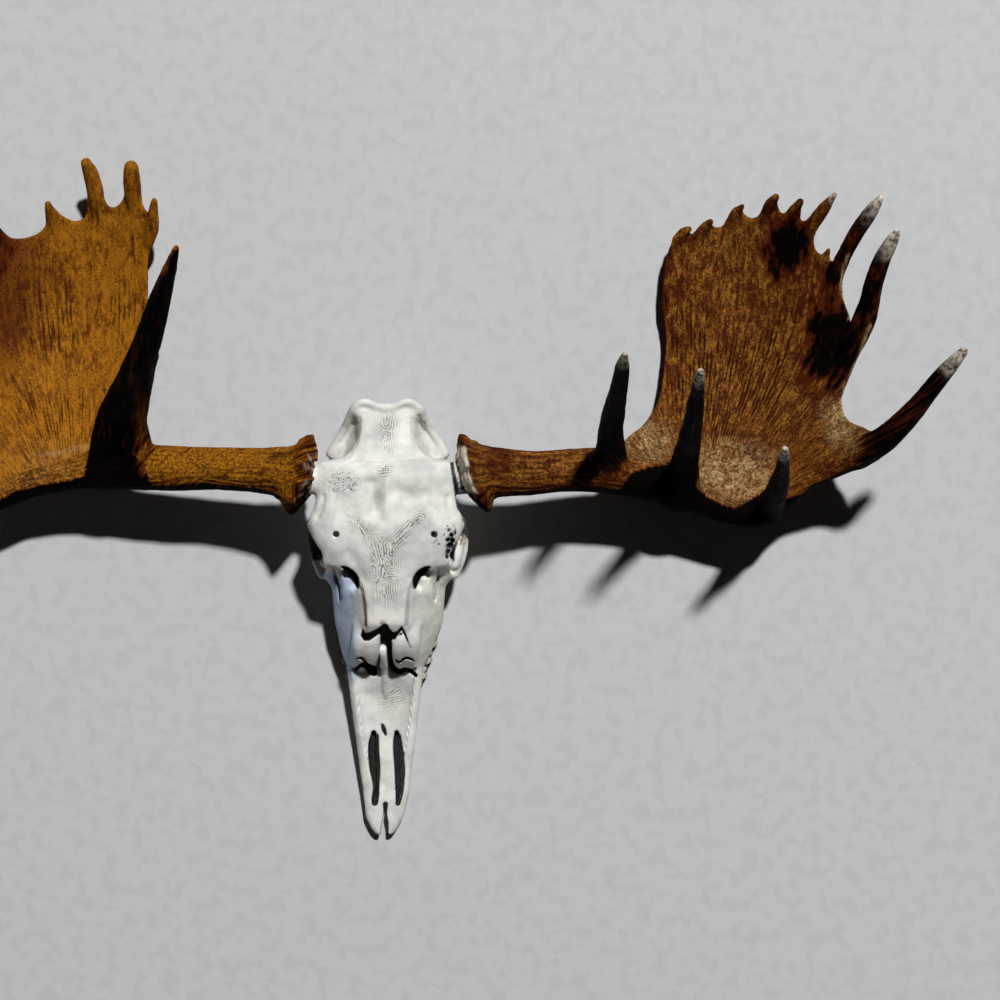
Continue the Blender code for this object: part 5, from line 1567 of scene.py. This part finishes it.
def antlerMaterial(name, gold):
    paint = Paint(name)
    place = paint.place()
    onPalm = paint.value("onPalm")
    palm = grainOf(paint, paint.vector("fan"), antlerLook["palmPitch"])
    limb = grainOf(paint, paint.vector("flow"), antlerLook["beamPitch"])
    grain = {part: paint.blend(onPalm, limb[part], palm[part]) for part in palm}
    patches = paint.noise(place, 24, 4)
    lit = antlerLook["gold"] if gold else antlerLook["amber"]
    colour = paint.blend(paint.span(grain["streak"], 0.40, 0.62), antlerLook["brown"], lit)
    if gold:
        colour = paint.blend(paint.span(patches, 0.3, 0.6, 0.0, 0.7), colour, antlerLook["gold"])
        colour = paint.blend(paint.value("ruddy"), colour, antlerLook["red"])
    else:
        colour = paint.blend(paint.span(patches, 0.48, 0.66, 0, 0.8), colour, antlerLook["red"])
    mottled = paint.span(paint.noise(place, 75, 5, 0.7), 0.36, 0.60, 1.0, 0.2)
    pale = paint.sum("MAXIMUM", paint.times(paint.value("tan"), mottled), paint.value("edge"))
    colour = paint.blend(pale, colour, antlerLook["tan"])
    groove = paint.times(grain["groove"], paint.value("grooved"))
    colour = paint.blend(paint.times(groove, 0.75 if gold else 0.93), colour, antlerLook["dark"])
    sparse = 0.02 if gold else 0.0
    dash = paint.span(grain["dash"], 0.54 + sparse, 0.60 + sparse, 0, 0.95)
    specks = paint.span(paint.noise(place, 420, 2), 0.57 + sparse, 0.64 + sparse, 0, 0.9)
    clumps = paint.span(paint.noise(place, 95, 3, 0.65), 0.36, 0.62, 0.25, 1.0)
    grit = paint.times(paint.span(paint.noise(place, 300, 4, 0.7), 0.5, 0.57, 0, 0.95),
                       paint.span(onPalm, 0.0, 1.0, 0.8, 0.35 if gold else 0.75))
    marks = paint.sum("MAXIMUM", paint.times(paint.sum("MAXIMUM", dash, specks), clumps), grit)
    colour = paint.blend(paint.times(marks, 0.92), colour, antlerLook["dark"])
    streaky = paint.noise(paint.stretched(paint.vector("fan"), (1, 0.3, 1)), 75, 5, 0.68)
    # the dark attribute carries the antler's own dark colour and painted shade; it goes to red, then black
    shade = paint.sum("ADD", paint.value("dark"), paint.span(streaky, 0.34, 0.68, -0.42, 0.38))
    colour = paint.blend(paint.span(shade, 0.1, 0.45, 0, 0.9), colour, antlerLook["red"])
    colour = paint.blend(paint.span(shade, 0.4, 0.85), colour, antlerLook["dark"])
    chipped = paint.span(paint.noise(place, 150, 4, 0.65), 0.36, 0.58, 0.15, 1.0)
    colour = paint.blend(paint.times(paint.value("tip"), chipped), colour, antlerLook["cream"])
    colour = paint.blend(paint.value("rim"), colour, antlerLook["cream"])
    height = paint.sum("SUBTRACT", paint.times(grain["streak"], 0.35), paint.times(marks, 0.3))
    height = paint.sum("SUBTRACT", height, paint.times(groove, 1.0))
    normal = paint.bump(height, 0.9, 0.0011)
    rough = paint.span(patches, 0.3, 0.7, antlerLook["roughness"] - 0.08, antlerLook["roughness"] + 0.14)
    paint.put(paint.shader.inputs["Specular IOR Level"], antlerLook["specular"])
    return paint.finish(colour, rough, normal)


# Floor, lights and camera

studio = {
    "keyPlace": (3.25, 7.7, 14.0),
    "keySize": 0.75,
    "keyPower": 3100,
    "fillPlace": (-3.4, -1.3, 0.95),
    "fillSize": 1.2,
    "fillPower": 3.5,
    "worldStrength": 0.005,
    "floorHalf": 6.0,
    "floorColour": (0.495, 0.495, 0.495),
    "floorBlotch": (0.460, 0.460, 0.466),
    "cameraPlace": (0.148, 0.0, 3.0),
    "focalPixels": 2200,
    "imagePixels": 1000,
    "sensor": 36.0,
}


def makeFloor():
    mesh = bpy.data.meshes.new("floor")
    half = studio["floorHalf"]
    corners = [(-half, -half, 0), (half, -half, 0), (half, half, 0), (-half, half, 0)]
    mesh.from_pydata(corners, [], [(0, 1, 2, 3)])
    floor = bpy.data.objects.new("floor", mesh)
    bpy.context.scene.collection.objects.link(floor)
    paint = Paint("floorPaint")
    blotches = paint.span(paint.noise(paint.place(), 48, 2, 0.5, 0.3), 0.34, 0.56)
    colour = paint.blend(blotches, studio["floorBlotch"], studio["floorColour"])
    normal = paint.bump(paint.noise(paint.place(), 60, 3), 0.15, 0.001)
    mesh.materials.append(paint.finish(colour, 0.75, normal))


def makeLight(name, place, size, power, aim=(0, 0, 0.05)):
    light = bpy.data.lights.new(name, "AREA")
    light.size = size
    light.energy = power
    obj = bpy.data.objects.new(name, light)
    obj.location = place
    away = np.array(aim) - np.array(place)
    obj.rotation_euler = directionTo(away)
    bpy.context.scene.collection.objects.link(obj)


def directionTo(away):
    # rotation that turns a lamp or camera, which looks down, along a direction
    flat = math.hypot(away[0], away[1])
    return (math.atan2(flat, -away[2]), 0, math.atan2(away[1], away[0]) - math.pi / 2)


def makeStage():
    makeFloor()
    makeLight("key", studio["keyPlace"], studio["keySize"], studio["keyPower"])
    makeLight("fill", studio["fillPlace"], studio["fillSize"], studio["fillPower"])
    world = bpy.data.worlds.new("world")
    world.use_nodes = True
    background = world.node_tree.nodes["Background"]
    background.inputs["Color"].default_value = (1, 1, 1, 1)
    background.inputs["Strength"].default_value = studio["worldStrength"]
    bpy.context.scene.world = world
    camera = bpy.data.cameras.new("camera")
    camera.sensor_width = studio["sensor"]
    camera.lens = studio["sensor"] * studio["focalPixels"] / studio["imagePixels"]
    view = bpy.data.objects.new("camera", camera)
    view.location = studio["cameraPlace"]
    bpy.context.scene.collection.objects.link(view)
    bpy.context.scene.camera = view
    bpy.context.scene.view_settings.view_transform = "Standard"


makeStage()
skullObject = makeSkull()
skullObject.data.materials.append(boneMaterial())
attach(skullObject, "root")
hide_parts("cranium")

toothPaint = toothMaterial()
for tooth in allTeeth():
    makeTooth(tooth, toothPaint)
print("teeth made")

makeAntler(rightAntler, antlerMaterial("antlerBrown", False))
makeAntler(leftAntler, antlerMaterial("antlerGold", True))
